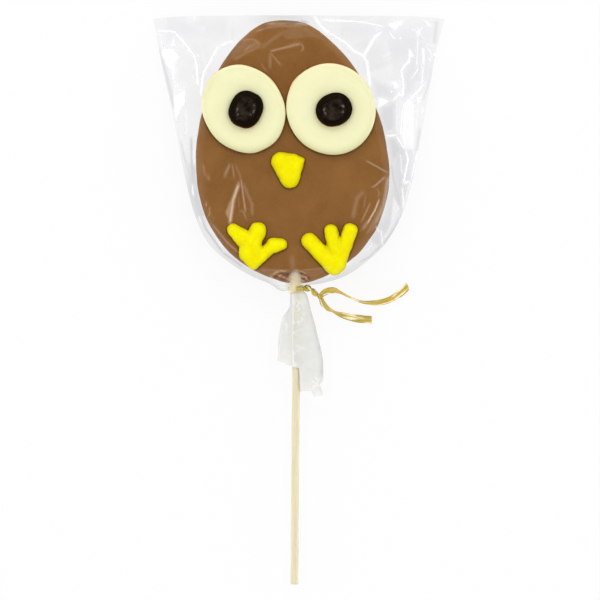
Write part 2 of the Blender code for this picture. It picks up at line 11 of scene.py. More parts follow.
import bmesh
import bpy
import numpy as np
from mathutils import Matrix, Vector


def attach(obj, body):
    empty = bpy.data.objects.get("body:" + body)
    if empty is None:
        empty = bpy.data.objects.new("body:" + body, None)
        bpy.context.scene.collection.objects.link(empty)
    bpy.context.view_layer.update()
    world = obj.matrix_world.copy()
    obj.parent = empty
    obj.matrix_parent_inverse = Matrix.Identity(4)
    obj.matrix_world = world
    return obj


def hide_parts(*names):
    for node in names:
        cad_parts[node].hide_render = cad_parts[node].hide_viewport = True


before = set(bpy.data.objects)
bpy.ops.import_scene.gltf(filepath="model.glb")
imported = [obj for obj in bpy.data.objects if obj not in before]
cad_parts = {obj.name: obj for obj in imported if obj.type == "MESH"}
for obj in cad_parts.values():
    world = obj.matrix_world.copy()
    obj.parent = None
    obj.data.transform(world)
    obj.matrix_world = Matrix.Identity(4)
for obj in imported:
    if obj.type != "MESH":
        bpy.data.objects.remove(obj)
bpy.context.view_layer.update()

MM = 0.001

# Bag
BAG_LEFT_SIDE = (
    (-65.7, 126.6), (-62.1, 107.9), (-56.6, 82.0), (-51.8, 57.5), (-47.0, 38.5),
    (-41.0, 25.8), (-31.5, 16.9), (-20.7, 10.3), (-12.0, 7.4), (-4.2, 6.4),
)
BAG_RIGHT_SIDE = (
    (65.7, 126.6), (61.9, 113.0), (59.0, 96.0), (54.6, 72.0), (50.9, 53.0),
    (45.9, 37.5), (38.8, 25.1), (30.6, 17.3), (21.2, 10.9), (11.0, 7.6), (2.2, 6.4),
)
BAG_CORNER_DROP = 1.4
BAG_SIDE_REST = 1.2
BAG_SIDE_REACH = 15.0
BAG_SIDE_START = 6.0
FILM_ROWS = 400
FILM_COLUMNS = 448
FILM_ROW_CROWDING = 0.15            # how much closer the mesh lines lie at the bag's rim
FILM_COLUMN_CROWDING = 0.32
FILM_BACK_STEP = 4                  # the back sheet's mesh is this much coarser
FILM_CLEARANCE = 0.2                # the film's least distance from what it covers
FILM_GAP = 0.35                     # distance between the two sheets along the bag's rim
FILM_CLING = 0.94                   # how much less the film mirrors where it lies on the head
FILM_MIRROR_LEVEL = 0.006           # how much it mirrors where it is seen straight on
FILM_MIRROR_EDGE = 0.35             # and where it is seen from the side
FILM_UNEVEN = ((24.0, 0.10), (8.0, 0.03))       # size and height of the soft bumps, here and below
BACK_UNEVEN = ((16.0, 0.25), (5.0, 0.08))

# Head
HEAD_HALF_LENGTH = 58.3
HEAD_HALF_WIDTH = 42.9
HEAD_TAPER = 0.147
HEAD_LEAN = math.radians(5.1)
HEAD_CENTRE = (-3.7, 67.5)
HEAD_THICKNESS = 14.0
HEAD_CROWN = 0.6
HEAD_FRONT_ROUND = 4.0
HEAD_BACK_ROUND = 2.0
HEAD_BASE = 0.8
HEAD_TOP = HEAD_BASE + HEAD_THICKNESS
HEAD_SIDES = 400
HEAD_FACE_RINGS = 150
HEAD_CROWDING = 0.62                # how much closer the mesh lines lie near the stick
HEAD_UNEVEN = ((17.0, 0.10), (6.0, 0.035))
HEAD_BUMPS = (                      # where the coat stands out of the egg: place, reach and height
    ((0.5, 9.0), 13.5, 1.9), ((-17.5, 123.6), 8.0, 0.45), ((4.5, 124.0), 8.0, 0.65),
)
CONTACT_SHADOW_WIDTH = 0.50                # width of the painted shadow line round what is stuck on the chocolate
CONTACT_SHADOW_DROP = 0.4                  # how far that painted shadow line is shifted down the face
CONTACT_SHADOW_SHARE = 0.62
CONTACT_SHADOW_START = 3.6                 # how far below the head's top the painted shadow line starts
CONTACT_SHADOW_FADE = 1.6
FURROW_DEPTH = 0.60
RIDGE_HEIGHT = 0.35
LIP_PULL = 0.3                      # how far the chocolate is drawn out round the stick
LIP_REACH = 2.6
LIP_Y = 8.6
LIP_END = 20.0                      # only the head's end below this y is drawn out
# Chocolate torn where the stick goes in, with painted shade in its furrows: half width and line of each
# furrow, and of each pale ridge
TORN_FURROWS = (
    (0.60, ((-11.8, 10.4), (-10.4, 10.7), (-9.0, 10.1))),
    (0.50, ((-9.0, 9.9), (-7.4, 9.4), (-5.6, 8.9))),
    (0.85, ((-8.4, 10.7), (-5.9, 11.3), (-3.8, 11.7))),
    (0.45, ((-9.0, 11.6), (-7.6, 12.0), (-6.2, 11.8))),
    (0.60, ((-3.8, 12.1), (-2.4, 12.4), (-1.2, 12.3))),
    (0.85, ((-0.8, 12.2), (1.8, 11.6), (3.9, 10.6))),
    (0.60, ((3.3, 10.5), (4.9, 9.4))),
    (0.50, ((0.7, 9.8), (2.7, 9.3), (3.4, 8.4))),
    (0.40, ((-6.4, 9.8), (-4.8, 10.2), (-3.9, 10.8))),
)
TORN_RIDGES = (
    (0.38, ((-12.3, 10.9), (-10.2, 12.4), (-8.0, 12.9), (-6.0, 12.7))),
    (0.45, ((-9.0, 11.0), (-8.2, 10.7), (-7.6, 11.1))),
    (0.40, ((-7.6, 10.3), (-6.2, 10.1), (-4.9, 9.4), (-4.7, 8.7))),
    (0.35, ((-12.8, 11.0), (-11.9, 9.9))),
    (0.32, ((-5.4, 9.2), (-4.5, 9.8), (-3.7, 10.9))),
    (0.36, ((-1.2, 13.0), (1.0, 12.8), (3.5, 11.6))),
    (0.42, ((0.8, 10.6), (2.2, 10.5), (3.2, 9.9), (3.6, 9.0))),
    (0.30, ((0.9, 8.8), (2.0, 8.6))),
    (0.30, ((-41.5, 43.5), (-41.75, 42))),
    (0.26, ((-40, 41.25), (-40.25, 40.75))),
    (0.26, ((-40.5, 40), (-39.75, 39))),
    (0.26, ((-40.25, 38.25), (-40.5, 37.5))),
)

# Stick
STICK_LENGTH = 200.0
STICK_RADIUS = 1.8
STICK_END = -128.0
STICK_END_X = -2.1
STICK_LEAN = math.radians(0.46)
STICK_HEIGHT = HEAD_BASE + HEAD_THICKNESS / 2.0
STICK_SIDES = 48
STICK_STATIONS = 170

# Face
EYE_HEIGHT = 3.2
EYE_SINK = 0.6
EYE_ROUND = 1.5
EYE_SIDES = 200
DISC_TOP = HEAD_TOP + HEAD_CROWN + EYE_HEIGHT
DISC_SHADE_WIDTH = 2.2              # width of the painted shade along a disc's rim
DISC_TOP_RINGS = 62
DISC_UNEVEN = ((11.0, 0.05), (3.5, 0.018))
DISC_UNDERSIDE = (                  # distance in from the rim, and rise from the head's face
    (14.0, 0.0), (9.0, 0.0), (5.0, 0.0), (2.5, 0.0), (1.2, 0.0), (0.5, 0.0), (0.15, 0.15), (0.0, 0.5),
)
EYES = {
    "left": {"centre": (-24.9, 85.7), "half": (18.0, 20.5), "lean": 32.0, "corner": 250.0, "seed": 3},
    "right": {"centre": (14.3, 85.6), "half": (19.8, 20.8), "lean": 30.0, "corner": 115.0, "seed": 5},
}
PUPIL_HALF_HEIGHT = 3.0
PUPIL_RISE = 1.6
PUPIL_DOME = 1.25                   # 1 is an ellipsoid, and more is more pointed
PUPIL_DULL = 0.93                   # its skin is dull, and painted near black, where it leans more than this cosine from level
PUPILS = {
    "left": {"centre": (-23.8, 85.3), "half": (7.4, 8.4), "lean": -24.0, "square": 2.35},
    "right": {"centre": (15.7, 85.2), "half": (8.3, 7.5), "lean": 23.0, "square": 2.1},
}
PUPIL_PRESS = 0.06                  # how deep a pupil's weight has dished its disc
PUPIL_SIDES = 120
PUPIL_RINGS = 56
PUPIL_UNEVEN = ((6.5, 0.030), (2.0, 0.008))

# Icing: x, y and radius of the blobs that each stroke is drawn round
BEAK_STROKES = (
    ((-8.3, 62.1, 4.2), (-2.5, 62.7, 2.8), (1.1, 62.4, 1.4), (-4.1, 54.5, 4.3)),
)
LEFT_FOOT_STROKES = (
    ((-21.6, 21.8, 5.5), (-20.4, 15.9, 2.5)),
    ((-29.5, 31.4, 2.8), (-21.5, 24.8, 4.8)),
    ((-18.6, 31.0, 3.9), (-21.7, 19.2, 2.6)),
    ((-7.9, 24.9, 2.6), (-11.3, 24.4, 3.4), (-15.3, 22.1, 1.8)),
    ((-13.0, 22.9, 2.5), (-19.7, 17.8, 3.2)),
)
RIGHT_FOOT_STROKES = (
    ((4.5, 26.6, 3.5), (15.9, 14.9, 4.0)),
    ((14.3, 30.8, 3.1), (17.8, 15.6, 3.4)),
    ((22.9, 31.1, 3.3), (17.6, 15.4, 3.0)),
)
ICING_RISE = 1.7
ICING_SLOPE = 0.35
ICING_LIFT = 0.5
ICING_VOXEL = 0.26
ICING_SHADE_TURN = 0.5                    # how far it turns from level before its painted shade is darkest
ICING_SMOOTHING = 7
ICING_UNEVEN = ((4.2, 0.08), (1.6, 0.015))
ICING_SWELL = 0.06                  # makes good what the smoothing takes off

# Neck, tail and tie
NECK_RADIUS = 3.1
NECK_Y = 6.4
TAIL_STATIONS = (
    (6.9, 2.8, 2.8, 2.8), (4.2, 2.8, 2.8, 2.8), (2.6, 3.0, 4.6, 2.9), (-3.0, 2.9, 6.4, 3.1),
    (-8.0, 6.4, 7.7, 3.3), (-14.5, 7.8, 9.4, 3.6), (-21.0, 8.3, 11.2, 3.9), (-27.5, 8.6, 12.2, 4.2),
    (-36.5, 8.7, 12.5, 4.4), (-38.0, 8.7, 11.4, 4.4), (-43.5, 8.7, 13.1, 4.4),
)
TAIL_FRONT_CUT = (                  # where the tail ends in front of the stick: distance aside, y
    (-8.7, -27.3), (-1.9, -30.2), (1.5, -30.7), (2.4, -41.2), (8.2, -41.0), (9.2, -43.6), (13.1, -43.0),
)
TAIL_BACK_CUT = (
    (-8.7, -27.3), (-1.9, -30.0), (0.2, -41.4), (8.2, -41.0), (9.2, -43.6), (13.1, -43.0),
)
TAIL_SIDES = 224
TAIL_ROWS = 180
TAIL_PLEATS = 7
TAIL_PLEAT_DEPTH = 0.03
TAIL_SAG = 0.42                     # how much flatter the film lies than the tail's outer form
TAIL_FOLD_TONE = 0.38
TAIL_INNER_GAP = 0.9                # how far the second fold of film lies inside the first
TAIL_UNEVEN = ((9.0, 0.09), (2.6, 0.02))
# Creases in the tail: half width, how much painted highlight (or painted shade, below zero) the film has
# there, line
TAIL_FOLDS = (
    (0.5, 1.6, ((-2.5, 4), (-2.5, -2))), (0.26, 1.5, ((-2.5, 0), (-2.75, -12))),
    (0.26, 0.5, ((-2.75, -12), (-3, -15.5), (-2.75, -22.5))), (0.26, 1.4, ((-2.75, -22.5), (-2.5, -29.75))),
    (0.55, 0.9, ((-2.25, -9.25), (-2.5, -11))), (0.6, 0.9, ((-2.25, -14.5), (-2.5, -15))),
    (0.6, 0.9, ((-2.5, -23.5), (-2.25, -24.75))), (0.6, 0.9, ((-2.25, -28.5), (-1, -29.75))),
    (0.34, 0.8, ((-1, 0), (0.25, -1.5), (-1, -2.75), (0.25, -4.25), (-1, -5.5), (-0.25, -7))),
    (0.34, 0.8, ((0.5, -8), (1.75, -8.75), (1, -9.5))), (0.3, 0.9, ((-1.25, -10), (0.75, -10))),
    (0.3, 0.9, ((-0.25, -8.75), (-0.25, -11))), (0.36, 0.5, ((-1.75, -14), (0.5, -13.25), (2, -13.5))),
    (0.6, 0.6, ((-1, -20.25), (0.5, -21.5), (2.75, -22))), (0.6, 0.5, ((-1, -23), (1, -22.5))),
    (0.6, 0.6, ((-6.25, -9.5), (-5.5, -11.75), (-5.5, -14))), (0.34, 0.8, ((5.75, -36.25), (9.5, -39.25))),
    (0.34, 0.8, ((9.25, -35.75), (6.25, -39.5))),
    (0.34, 0.6, ((6.75, -34.75), (8.5, -36), (10.25, -35.75))),
    (0.4, -0.35, ((-7.75, -8.25), (-8.5, -10.75), (-9.75, -26.75))),
    (0.4, -0.35, ((-4.5, 3.5), (-3.5, -0.75), (-4.75, -5), (-7.25, -8))),
    (1.1, -0.6, ((4, 3), (9.25, -20.25), (10.5, -27), (10.5, -35.25))),
    (0.6, -0.3, ((8.5, -38), (10, -41), (10.25, -43.25))), (0.4, -0.25, ((2, -27.5), (1, -29))),
)
RING_RADIUS = 3.8
RING_Y = 4.9
RING_TURNS = 2
RING_PITCH = 0.7
RING_HALF = (0.50, 0.24)
RIBBON_WIDTH = 3.6
RIBBON_THICKNESS = 0.42
RIBBON_RIDGES = 4
RIBBON_RIDGE_HEIGHT = 0.15
RIBBON_CURL = 0.10
TWIST_PATH = ((2.3, 5.5, 9.0), (5.2, 4.7, 9.1), (7.3, 2.8, 8.9), (10.0, 1.1, 8.4))
TWIST_HALF = (1.35, 0.62)
TWIST_APART = 0.45
TWIST_TURNS = 1.2
TWIST_START = 0.4
UPPER_RIBBON = (
    (9.2, 1.2, 8.4, 1.8), (12.0, 3.5, 9.6, 3.0), (15.2, 4.2, 9.8, 3.0), (18.6, 3.2, 9.0, 1.2),
    (22.7, 1.1, 7.8, 0.9), (26.4, -0.5, 6.6, 0.9), (30.5, -1.3, 5.5, 1.6), (35.6, -1.3, 4.3, 2.6),
    (40.8, 0.0, 3.2, 2.9), (46.0, 3.1, 2.3, 3.1), (49.1, 6.3, 1.9, 3.3),
)
LOWER_RIBBON = (
    (9.9, 0.9, 8.2, 1.8), (10.9, -1.8, 7.6, 2.4), (13.2, -4.3, 6.4, 2.0), (15.6, -5.4, 5.4, 1.1),
    (18.6, -6.6, 4.3, 2.3), (22.9, -7.9, 3.0, 3.3), (28.0, -8.7, 1.8, 3.5), (32.8, -9.0, 1.0, 3.5),
)

# Folds in the film, read off the photograph to about half a millimetre: half width, how much painted
# highlight (or painted shade, below zero) the film has there, line
LEFT_FOLDS = (
    (0.45, 1, ((-64, 121), (-58, 121), (-56, 120.5), (-51.5, 115.5), (-47, 109.5), (-46, 105.5),
         (-45.5, 96))),
    (0.6, 0.8, ((-52, 116), (-47.5, 110))),
    (0.5, 0.9, ((-36, 114), (-42.5, 102.5), (-43.5, 99), (-44, 91.5))),
    (0.75, 0.55, ((-28.5, 116), (-32.5, 115.5), (-36, 114))), (0.6, 0.5, ((-62.5, 120.5), (-61.5, 113.5))),
    (0.7, 0.45, ((-56, 104.5), (-56, 92.5))), (0.55, 0.35, ((-51, 86.5), (-50.5, 74.5))),
    (0.7, 0.5, ((-51, 75.5), (-50.5, 74.5))), (0.7, 0.4, ((-46.5, 110), (-44.5, 109.5))),
    (0.7, 0.3, ((-51.5, 111.5), (-49, 111))), (1, -0.45, ((-63.5, 113.5), (-60.5, 103.5), (-56, 86.5))),
    (0.55, -0.7, ((-48.5, 73), (-48, 53))), (0.45, 0.8, ((-48, 52), (-47.5, 46.5))),
    (0.45, 0.5, ((-47.5, 67.5), (-47, 60))), (0.55, -0.7, ((-44.5, 38.5), (-42, 32), (-34.5, 21.5))),
    (0.5, 0.6, ((-45, 37.5), (-43.5, 34.5))), (0.5, 0.5, ((-37, 27.5), (-34, 23))),
    (0.55, -0.6, ((-34.5, 21.5), (-25.5, 15))), (0.45, -0.35, ((-53.5, 72), (-48, 49.5))),
)
RIGHT_FOLDS = (
    (0.4, 0.9, ((10.5, 126), (29.5, 125), (38, 123))),
    (0.55, 1, ((7, 127.5), (9.5, 123.5), (12, 121), (21, 115.5), (25, 111.5), (27.5, 110.5), (29, 109),
         (30.5, 107), (32, 96))),
    (0.7, 1, ((37, 120.5), (34, 118), (29, 109.5))), (0.5, 1, ((47, 125.5), (42.5, 121.5))),
    (0.35, 0.8, ((40.5, 120.5), (42.5, 118))), (0.65, 1, ((42.5, 118), (43, 117.5))),
    (0.6, 0.8, ((45.5, 118), (46, 117.5))), (0.8, 0.3, ((37.5, 109), (41.5, 111.5))),
    (0.75, 1, ((52.5, 121), (54, 120.5), (53.5, 118.5))), (0.4, 0.9, ((53, 123), (55, 119))),
    (0.4, 0.8, ((55.5, 123), (52.5, 118.5))), (0.3, 0.6, ((50.5, 121.5), (52.5, 121.5))),
    (0.35, 0.6, ((54, 120), (56, 117.5))), (0.45, 0.65, ((53.5, 118), (53, 104.5))),
    (0.4, 0.7, ((57, 115), (60, 110))), (0.7, 1, ((61, 111.5), (61, 109.5))),
    (0.6, 0.9, ((58.5, 108.5), (59.5, 108))), (0.5, 1, ((49.5, 108), (46, 103), (47, 96.5), (46.5, 91))),
    (0.7, 0.9, ((56, 114), (56, 105.5))), (0.5, 0.8, ((56, 105.5), (55, 96.5))),
    (0.4, 0.8, ((54, 104.5), (50.5, 99.5))), (0.6, 1, ((56, 97.5), (54.5, 95), (46.5, 86.5))),
    (0.55, 0.7, ((41, 93.5), (42, 93.5))), (0.5, 1, ((45.5, 93.5), (42, 89))),
    (0.45, 0.8, ((44, 92.5), (47, 91.5))), (0.6, 0.6, ((46.5, 87), (45.5, 73))),
    (0.45, 1, ((39, 73.5), (44, 74))), (0.65, 0.35, ((39, 75), (43, 76.5))),
    (0.55, 0.5, ((44, 90), (44, 75))), (0.45, 0.9, ((43.5, 74), (47.5, 67.5))),
    (0.45, 0.6, ((53, 91.5), (53.5, 84.5), (52.5, 76.5))), (0.5, 0.6, ((55, 87.5), (56, 84))),
    (0.5, 1, ((48, 68), (49, 63), (47, 52.5))), (0.65, 0.9, ((47, 52.5), (49.5, 53))),
    (0.4, 0.95, ((53.5, 67.5), (50.5, 54.5))), (0.45, 0.5, ((45.5, 65.5), (46.5, 56))),
    (0.4, 0.9, ((46.5, 50.5), (47, 41))), (0.45, 0.5, ((50.5, 54), (47, 42))),
    (0.7, 0.45, ((45, 39.5), (38, 27))), (0.5, 0.7, ((37, 31.5), (37.5, 24.5))),
    (0.45, 0.5, ((34.5, 33), (36.5, 30))), (0.6, -0.7, ((47, 39.5), (43.5, 33), (39, 26.5), (34, 21.5))),
    (1, -0.6, ((41.5, 61.5), (42.5, 54), (46, 41.5))), (0.7, -0.35, ((54.5, 77.5), (52, 60.5))),
    (1.15, -0.35, ((62, 126), (61, 115))), (0.55, -0.3, ((59.5, 105.5), (58.5, 98), (56, 90))),
    (0.5, -0.5, ((27.5, 17), (32, 19.5), (35.5, 23.5))), (0.45, 0.5, ((30, 21.5), (33, 25))),
)
FACE_FOLDS = (
    (0.45, 0.2, ((-13, 111.5), (1, 115))), (0.75, 0.16, ((-5.5, 113.5), (1, 115))),
    (0.4, 0.14, ((1, 115), (2, 113), (1, 111.5))), (0.6, 0.1, ((-13, 110.5), (-13, 103.5))),
    (0.4, 0.12, ((-13, 111), (-8, 105))), (0.4, 0.08, ((-17, 106), (-14.5, 102))),
    (0.45, 0.12, ((-26, 116.5), (-21, 117), (-18.5, 116), (-17, 114.5))),
    (0.45, 0.1, ((-17, 114), (-29.5, 108))), (0.4, 0.2, ((-14.5, 124), (-10, 124))),
    (0.35, 0.18, ((-9.5, 123.5), (-5, 124.5))), (0.45, 0.22, ((-2.5, 123.5), (0, 124), (4, 123.5))),
    (0.35, 0.2, ((-1, 124), (2, 124.5))), (0.4, 0.16, ((-19, 120.5), (-15.5, 121.5))),
    (0.9, 0.07, ((-17, 113), (-7, 120.5))), (0.45, -0.85, ((-8.5, 125), (0.5, 125))),
    (0.55, -0.75, ((0.5, 125.5), (4, 124.5))), (0.4, -0.5, ((-6.5, 123.5), (-3.5, 124), (-1.5, 123.5))),
    (0.5, 0.16, ((-24.5, 111), (-21.5, 115))), (0.45, 0.14, ((-20, 116), (-17.5, 114.5))),
    (0.6, 0.1, ((-29, 107.5), (-23.5, 111))), (0.4, -0.3, ((-19, 120), (-8.5, 124))),
    (0.55, -0.35, ((-32, 108), (-28, 114), (-25, 116))), (0.4, -0.25, ((-24, 113), (-22, 115), (-21, 115))),
    (0.5, 0.14, ((-33, 109), (-30, 113.5), (-26.5, 117), (-22.5, 120))),
    (0.7, 0.5, ((-27, 52), (-29.5, 45), (-31, 34.5))), (0.35, 0.3, ((-27, 53), (-29, 47))),
    (0.35, 0.26, ((-26, 54), (-24, 39.5))), (0.7, 0.1, ((-25, 52), (-21, 42.5), (-21, 38))),
    (0.35, 0.12, ((-26.5, 40), (-25, 39.5), (-23.5, 36))), (0.35, 0.08, ((-27, 46), (-27, 41.5))),
    (0.65, 0.16, ((-31, 61), (-33.5, 55))), (0.35, 0.14, ((-30, 61), (-29, 54.5))),
    (0.6, 0.06, ((-28.5, 61), (-25.5, 53))), (0.5, 0.1, ((-43, 61), (-42, 55))),
    (0.8, 0.1, ((-41, 56), (-40.5, 53.5))), (0.35, 0.22, ((30, 62.5), (40, 57))),
    (0.4, 0.24, ((39, 55.5), (34, 51), (32.5, 50.5))), (0.35, -0.3, ((39.5, 56), (38, 55))),
    (1, 0.1, ((29, 48.5), (26, 45.5), (24, 36.5))), (0.35, 0.1, ((30, 47.5), (29, 41))),
    (0.4, 0.14, ((32, 43.5), (28, 35))), (0.4, 0.52, ((36, 45), (34, 40), (30.5, 34))),
    (0.8, 0.16, ((32, 36.5), (28.5, 31.5))), (0.95, 0.22, ((40, 55), (38, 42.5), (34, 34))),
    (0.35, 0.12, ((35, 50), (36, 48), (35.5, 46))), (0.35, -0.3, ((38.5, 51), (36.5, 43))),
    (0.5, 0.16, ((-39, 34), (-32, 25.5), (-27.5, 21.5))), (1.2, 0.07, ((-3, 20), (-3, 13))),
    (0.45, 0.12, ((-17, 13.5), (-3, 13))), (0.45, 0.1, ((0.5, 13), (14, 14.5))),
)
# Facets of the film that catch the light, or lose it: how much whiter or darker, and outline
FACE_PATCHES = (
    (0.05, ((-29.5, 112.5), (-26, 116), (-22.5, 117), (-19, 116), (-17, 114.5), (-31, 108))),
    (0.09, ((-25, 113), (-22.5, 115), (-20, 115.5), (-17.5, 114.5), (-24, 111.5))),
    (0.1, ((-17, 121), (-12, 124), (-8, 125), (-1, 125.5), (3.5, 124), (-1, 122), (-8.5, 122.5))),
    (0.05, ((-8, 120), (-4, 122), (3, 122), (8, 118), (-6, 117))),
    (0.22, ((-27, 52), (-30, 37), (-31, 35), (-33, 39), (-31.5, 43))),
    (0.05, ((-17, 13), (-4, 13), (14, 14), (8.5, 11), (0.5, 8.5), (-8.5, 9))),
    (0.1, ((39, 56), (40, 54), (39.5, 47), (36.5, 38), (34, 32), (30, 29.5), (37, 44))),
)
LEFT_PATCHES = (
    (1, ((-61, 113), (-58, 113), (-56, 112), (-54, 109.5), (-56, 107), (-56, 99.5), (-57, 99.5),
         (-57, 103.5), (-59, 105), (-61.5, 109.5), (-62, 112))),
    (0.7, ((-56, 118.5), (-56, 115.5), (-54.5, 114.5), (-58, 114), (-58, 115))),
    (1, ((-56, 92), (-52.5, 93.5), (-51.5, 94.5), (-51.5, 88.5), (-53.5, 86), (-55.5, 80.5), (-56.5, 91))),
    (0.25, ((-55.5, 97.5), (-51.5, 98), (-51, 94), (-55.5, 92.5))),
)
RIGHT_PATCHES = (
    (0.55, ((39, 124), (43, 125.5), (47, 126), (46.5, 124), (43, 121.5))),
    (0.95, ((56.5, 126), (58.5, 125), (59.5, 123), (58, 123.5))),
    (1, ((49.5, 113), (51, 111.5), (51.5, 109.5), (50, 109), (50, 106.5), (49, 106.5))),
    (0.7, ((41.5, 98), (44, 98), (45.5, 95.5), (43, 95))),
    (0.85, ((36, 90.5), (38, 90.5), (40.5, 89), (35.5, 86))),
    (0.62, ((48, 89), (50.5, 90.5), (52, 88), (52, 78.5), (51.5, 67.5), (47.5, 67.5), (46, 72), (47, 87))),
    (0.9, ((49, 89.5), (51, 90), (51.5, 85.5), (50.5, 82.5), (49.5, 84.5))),
    (0.7, ((52.5, 91.5), (56, 92), (53.5, 88))),
    (-0.5, ((37, 87), (40.5, 88), (43.5, 90), (43.5, 75), (38.5, 73.5), (36, 82))),
    (-0.6, ((39.5, 73), (43.5, 73.5), (47, 67.5), (44, 63), (41.5, 60))),
    (-0.35, ((33, 99), (43.5, 94.5), (43.5, 90), (36.5, 91), (34, 91.5))),
    (0.5, ((42.5, 46.5), (45.5, 41), (41, 33))),
    (-0.3, ((50.5, 108), (54, 103.5), (51, 93.5), (47, 90.5), (47, 102.5))),
)
# Broad painted shade on the flaps, beside the head only: half width, how much darker, line
FLAP_SHADES = (
    (6.0, 0.18, ((-60.0, 123.0), (-32.0, 123.0))),
    (7.0, 0.22, ((18.0, 123.0), (42.0, 122.0))),
    (10.0, 0.26, ((40.0, 112.0), (52.0, 114.0), (52.0, 98.0))),
    (8.0, 0.22, ((30.0, 118.0), (36.0, 103.0))),
    (5.5, 0.50, ((46.0, 70.0), (46.0, 57.0), (44.5, 46.0), (42.0, 36.0), (33.5, 25.0))),
    (3.0, 0.52, ((-47.2, 62.0), (-47.2, 50.0), (-45.5, 43.0), (-43.5, 37.0))),
    (6.0, 0.12, ((-46.0, 116.0), (-44.0, 98.0))),
)
LOOSE_FOLD_COUNT = 34               # smaller folds, scattered over both flaps
LOOSE_FOLD_SEED = 11
FOLD_RISE = 0.3                     # how far a fully white fold stands out of the film
PATCH_RISE = 0.15                   # how far a fully white facet does
PATCH_EDGE = 0.9                    # width of a bright facet's soft edge
DULL_PATCH_EDGE = 4.0               # width of a dull facet's soft edge
NECK_PLEATS = 13
NECK_PLEAT_HEIGHT = 0.18
NECK_PLEAT_REACH = 13.0
NECK_MILK = 0.22                    # how milky the film is where it is gathered
NECK_MILK_REACH = 4.0
NECK_LUMPS = (                      # cream-coloured film bunched where the stick comes out: place, half
    ((-1.7, 8.6), (2.7, 4.4)), ((-0.8, 5.6), (4.3, 2.9)),
)
NECK_LUMP_MILK = 0.66
NECK_LUMP_RISE = 0.5
FILM_DROOP = 2.8                    # how much lower the bag's edge hangs beside the neck
FILM_DROOP_X = -7.5
FILM_DROOP_REACH = 4.5
NECK_FOLD = (-3.0, 6.2, 9.4)        # film folded over the ribbon, left of the stick
NECK_FOLD_HALF = (3.2, 3.9, 2.8)

# View: the photograph is 600 pixels wide and shows 270 mm at the height of the stick
VIEW_WIDTH = 270.0
VIEW_HEIGHT = 8.0
VIEW_CENTRE = (0.45, -0.09)
LENS = 400.0
SENSOR = 36.0

# Studio, in metres and degrees
FLOOR_HALF = 6.0
FLOOR_GLOW = 0.88                   # how much of the floor's white is its own light
TRANSPARENT_BOUNCES = 24            # how many layers of film light may pass
LAMP_DISTANCE = 2.4
LAMP_SIZE = (0.34, 0.26)
LAMPS = (                           # bearing from +X, angle from overhead, radiance
    (172.0, 30.0, 14.0), (204.0, 27.0, 12.0), (24.0, 30.0, 14.0), (340.0, 27.0, 12.0), (112.0, 50.0, 15.0),
    (68.0, 50.0, 15.0),
)
ROOM_LEVELS = (0.45, 0.86, 2.0, 0.12)           # upward share of a direction, low and high, and its light

# Where each thing's random draws start
SEEDS = {"head": 21, "torn": 31, "pupil": 41, "icing": 51, "stick": 61, "film": 71, "back": 81, "tail": 91,
         "neck_fold": 95}


def srgb(red, green, blue):
    """A linear colour from its sRGB values."""
    def linear(value):
        share = value / 255.0
        return share / 12.92 if share <= 0.04045 else ((share + 0.055) / 1.055) ** 2.4
    return (linear(red), linear(green), linear(blue), 1.0)


# Shape functions

def curve_points(knots, fractions):
    """Points at these fractions of the length of a smooth curve through the knots."""
    knots = np.array(knots, dtype=float)
    padded = np.vstack([2.0 * knots[0] - knots[1], knots, 2.0 * knots[-1] - knots[-2]])
    t = np.linspace(0.0, 1.0, 13)[:-1, None]
    spans = []
    for i in range(len(knots) - 1):
        a, b, c, d = padded[i:i + 4]
        spans.append(0.5 * (2.0 * b + (c - a) * t + (2.0 * a - 5.0 * b + 4.0 * c - d) * t ** 2
                            + (3.0 * b - a - 3.0 * c + d) * t ** 3))
    dense = np.vstack(spans + [knots[-1:]])
    steps = np.linalg.norm(np.diff(dense[:, :3], axis=0), axis=1)
    travelled = np.concatenate([[0.0], np.cumsum(steps)])
    wanted = np.asarray(fractions) * travelled[-1]
    return np.stack([np.interp(wanted, travelled, column) for column in dense.T], axis=1)


def head_outline(count, offset=0.0, crowding=0.0):
    """The head's egg-shaped outline, clockwise from its narrow upper end, moved outward by offset.

    Crowding brings its points closer together near the stick.
    """
    t = full_turn(count)
    t = t + crowding * np.sin(t)
    across = HEAD_HALF_WIDTH * (1.0 - HEAD_TAPER * np.cos(t)) * np.sin(t)
    along = HEAD_HALF_LENGTH * np.cos(t)
    lean_cos = math.cos(HEAD_LEAN)
    lean_sin = math.sin(HEAD_LEAN)
    x = HEAD_CENTRE[0] + lean_cos * across - lean_sin * along
    y = HEAD_CENTRE[1] + lean_sin * across + lean_cos * along
    outline = np.stack([x, y], axis=1)
    tangent = np.roll(outline, -1, axis=0) - np.roll(outline, 1, axis=0)
    tangent /= np.linalg.norm(tangent, axis=1, keepdims=True)
    outward = np.stack([-tangent[:, 1], tangent[:, 0]], axis=1)
    swell = sum(height * np.exp(-(np.hypot(*(outline - np.array(place)).T) / reach) ** 2)
                for place, reach, height in HEAD_BUMPS)
    return outline + (offset + swell)[:, None] * outward


def head_inset(x, y):
    """How far points lie inside the head's outline (negative outside), and their share of its radius."""
    outline = head_outline(240)
    offset = outline - np.array(HEAD_CENTRE)
    angles = np.arctan2(offset[:, 1], offset[:, 0])
    order = np.argsort(angles)
    radii = np.linalg.norm(offset, axis=1)
    from_centre = np.hypot(x - HEAD_CENTRE[0], y - HEAD_CENTRE[1])
    angle = np.arctan2(y - HEAD_CENTRE[1], x - HEAD_CENTRE[0])
    reach = np.interp(angle, angles[order], radii[order], period=2.0 * math.pi)
    nearest = np.full(np.shape(x), np.inf)
    for start, end in zip(outline, np.roll(outline, -1, axis=0)):
        nearest = np.minimum(nearest, segment_distance(x, y, start, end)[0])
    return np.where(from_centre < reach, nearest, -nearest), from_centre / reach


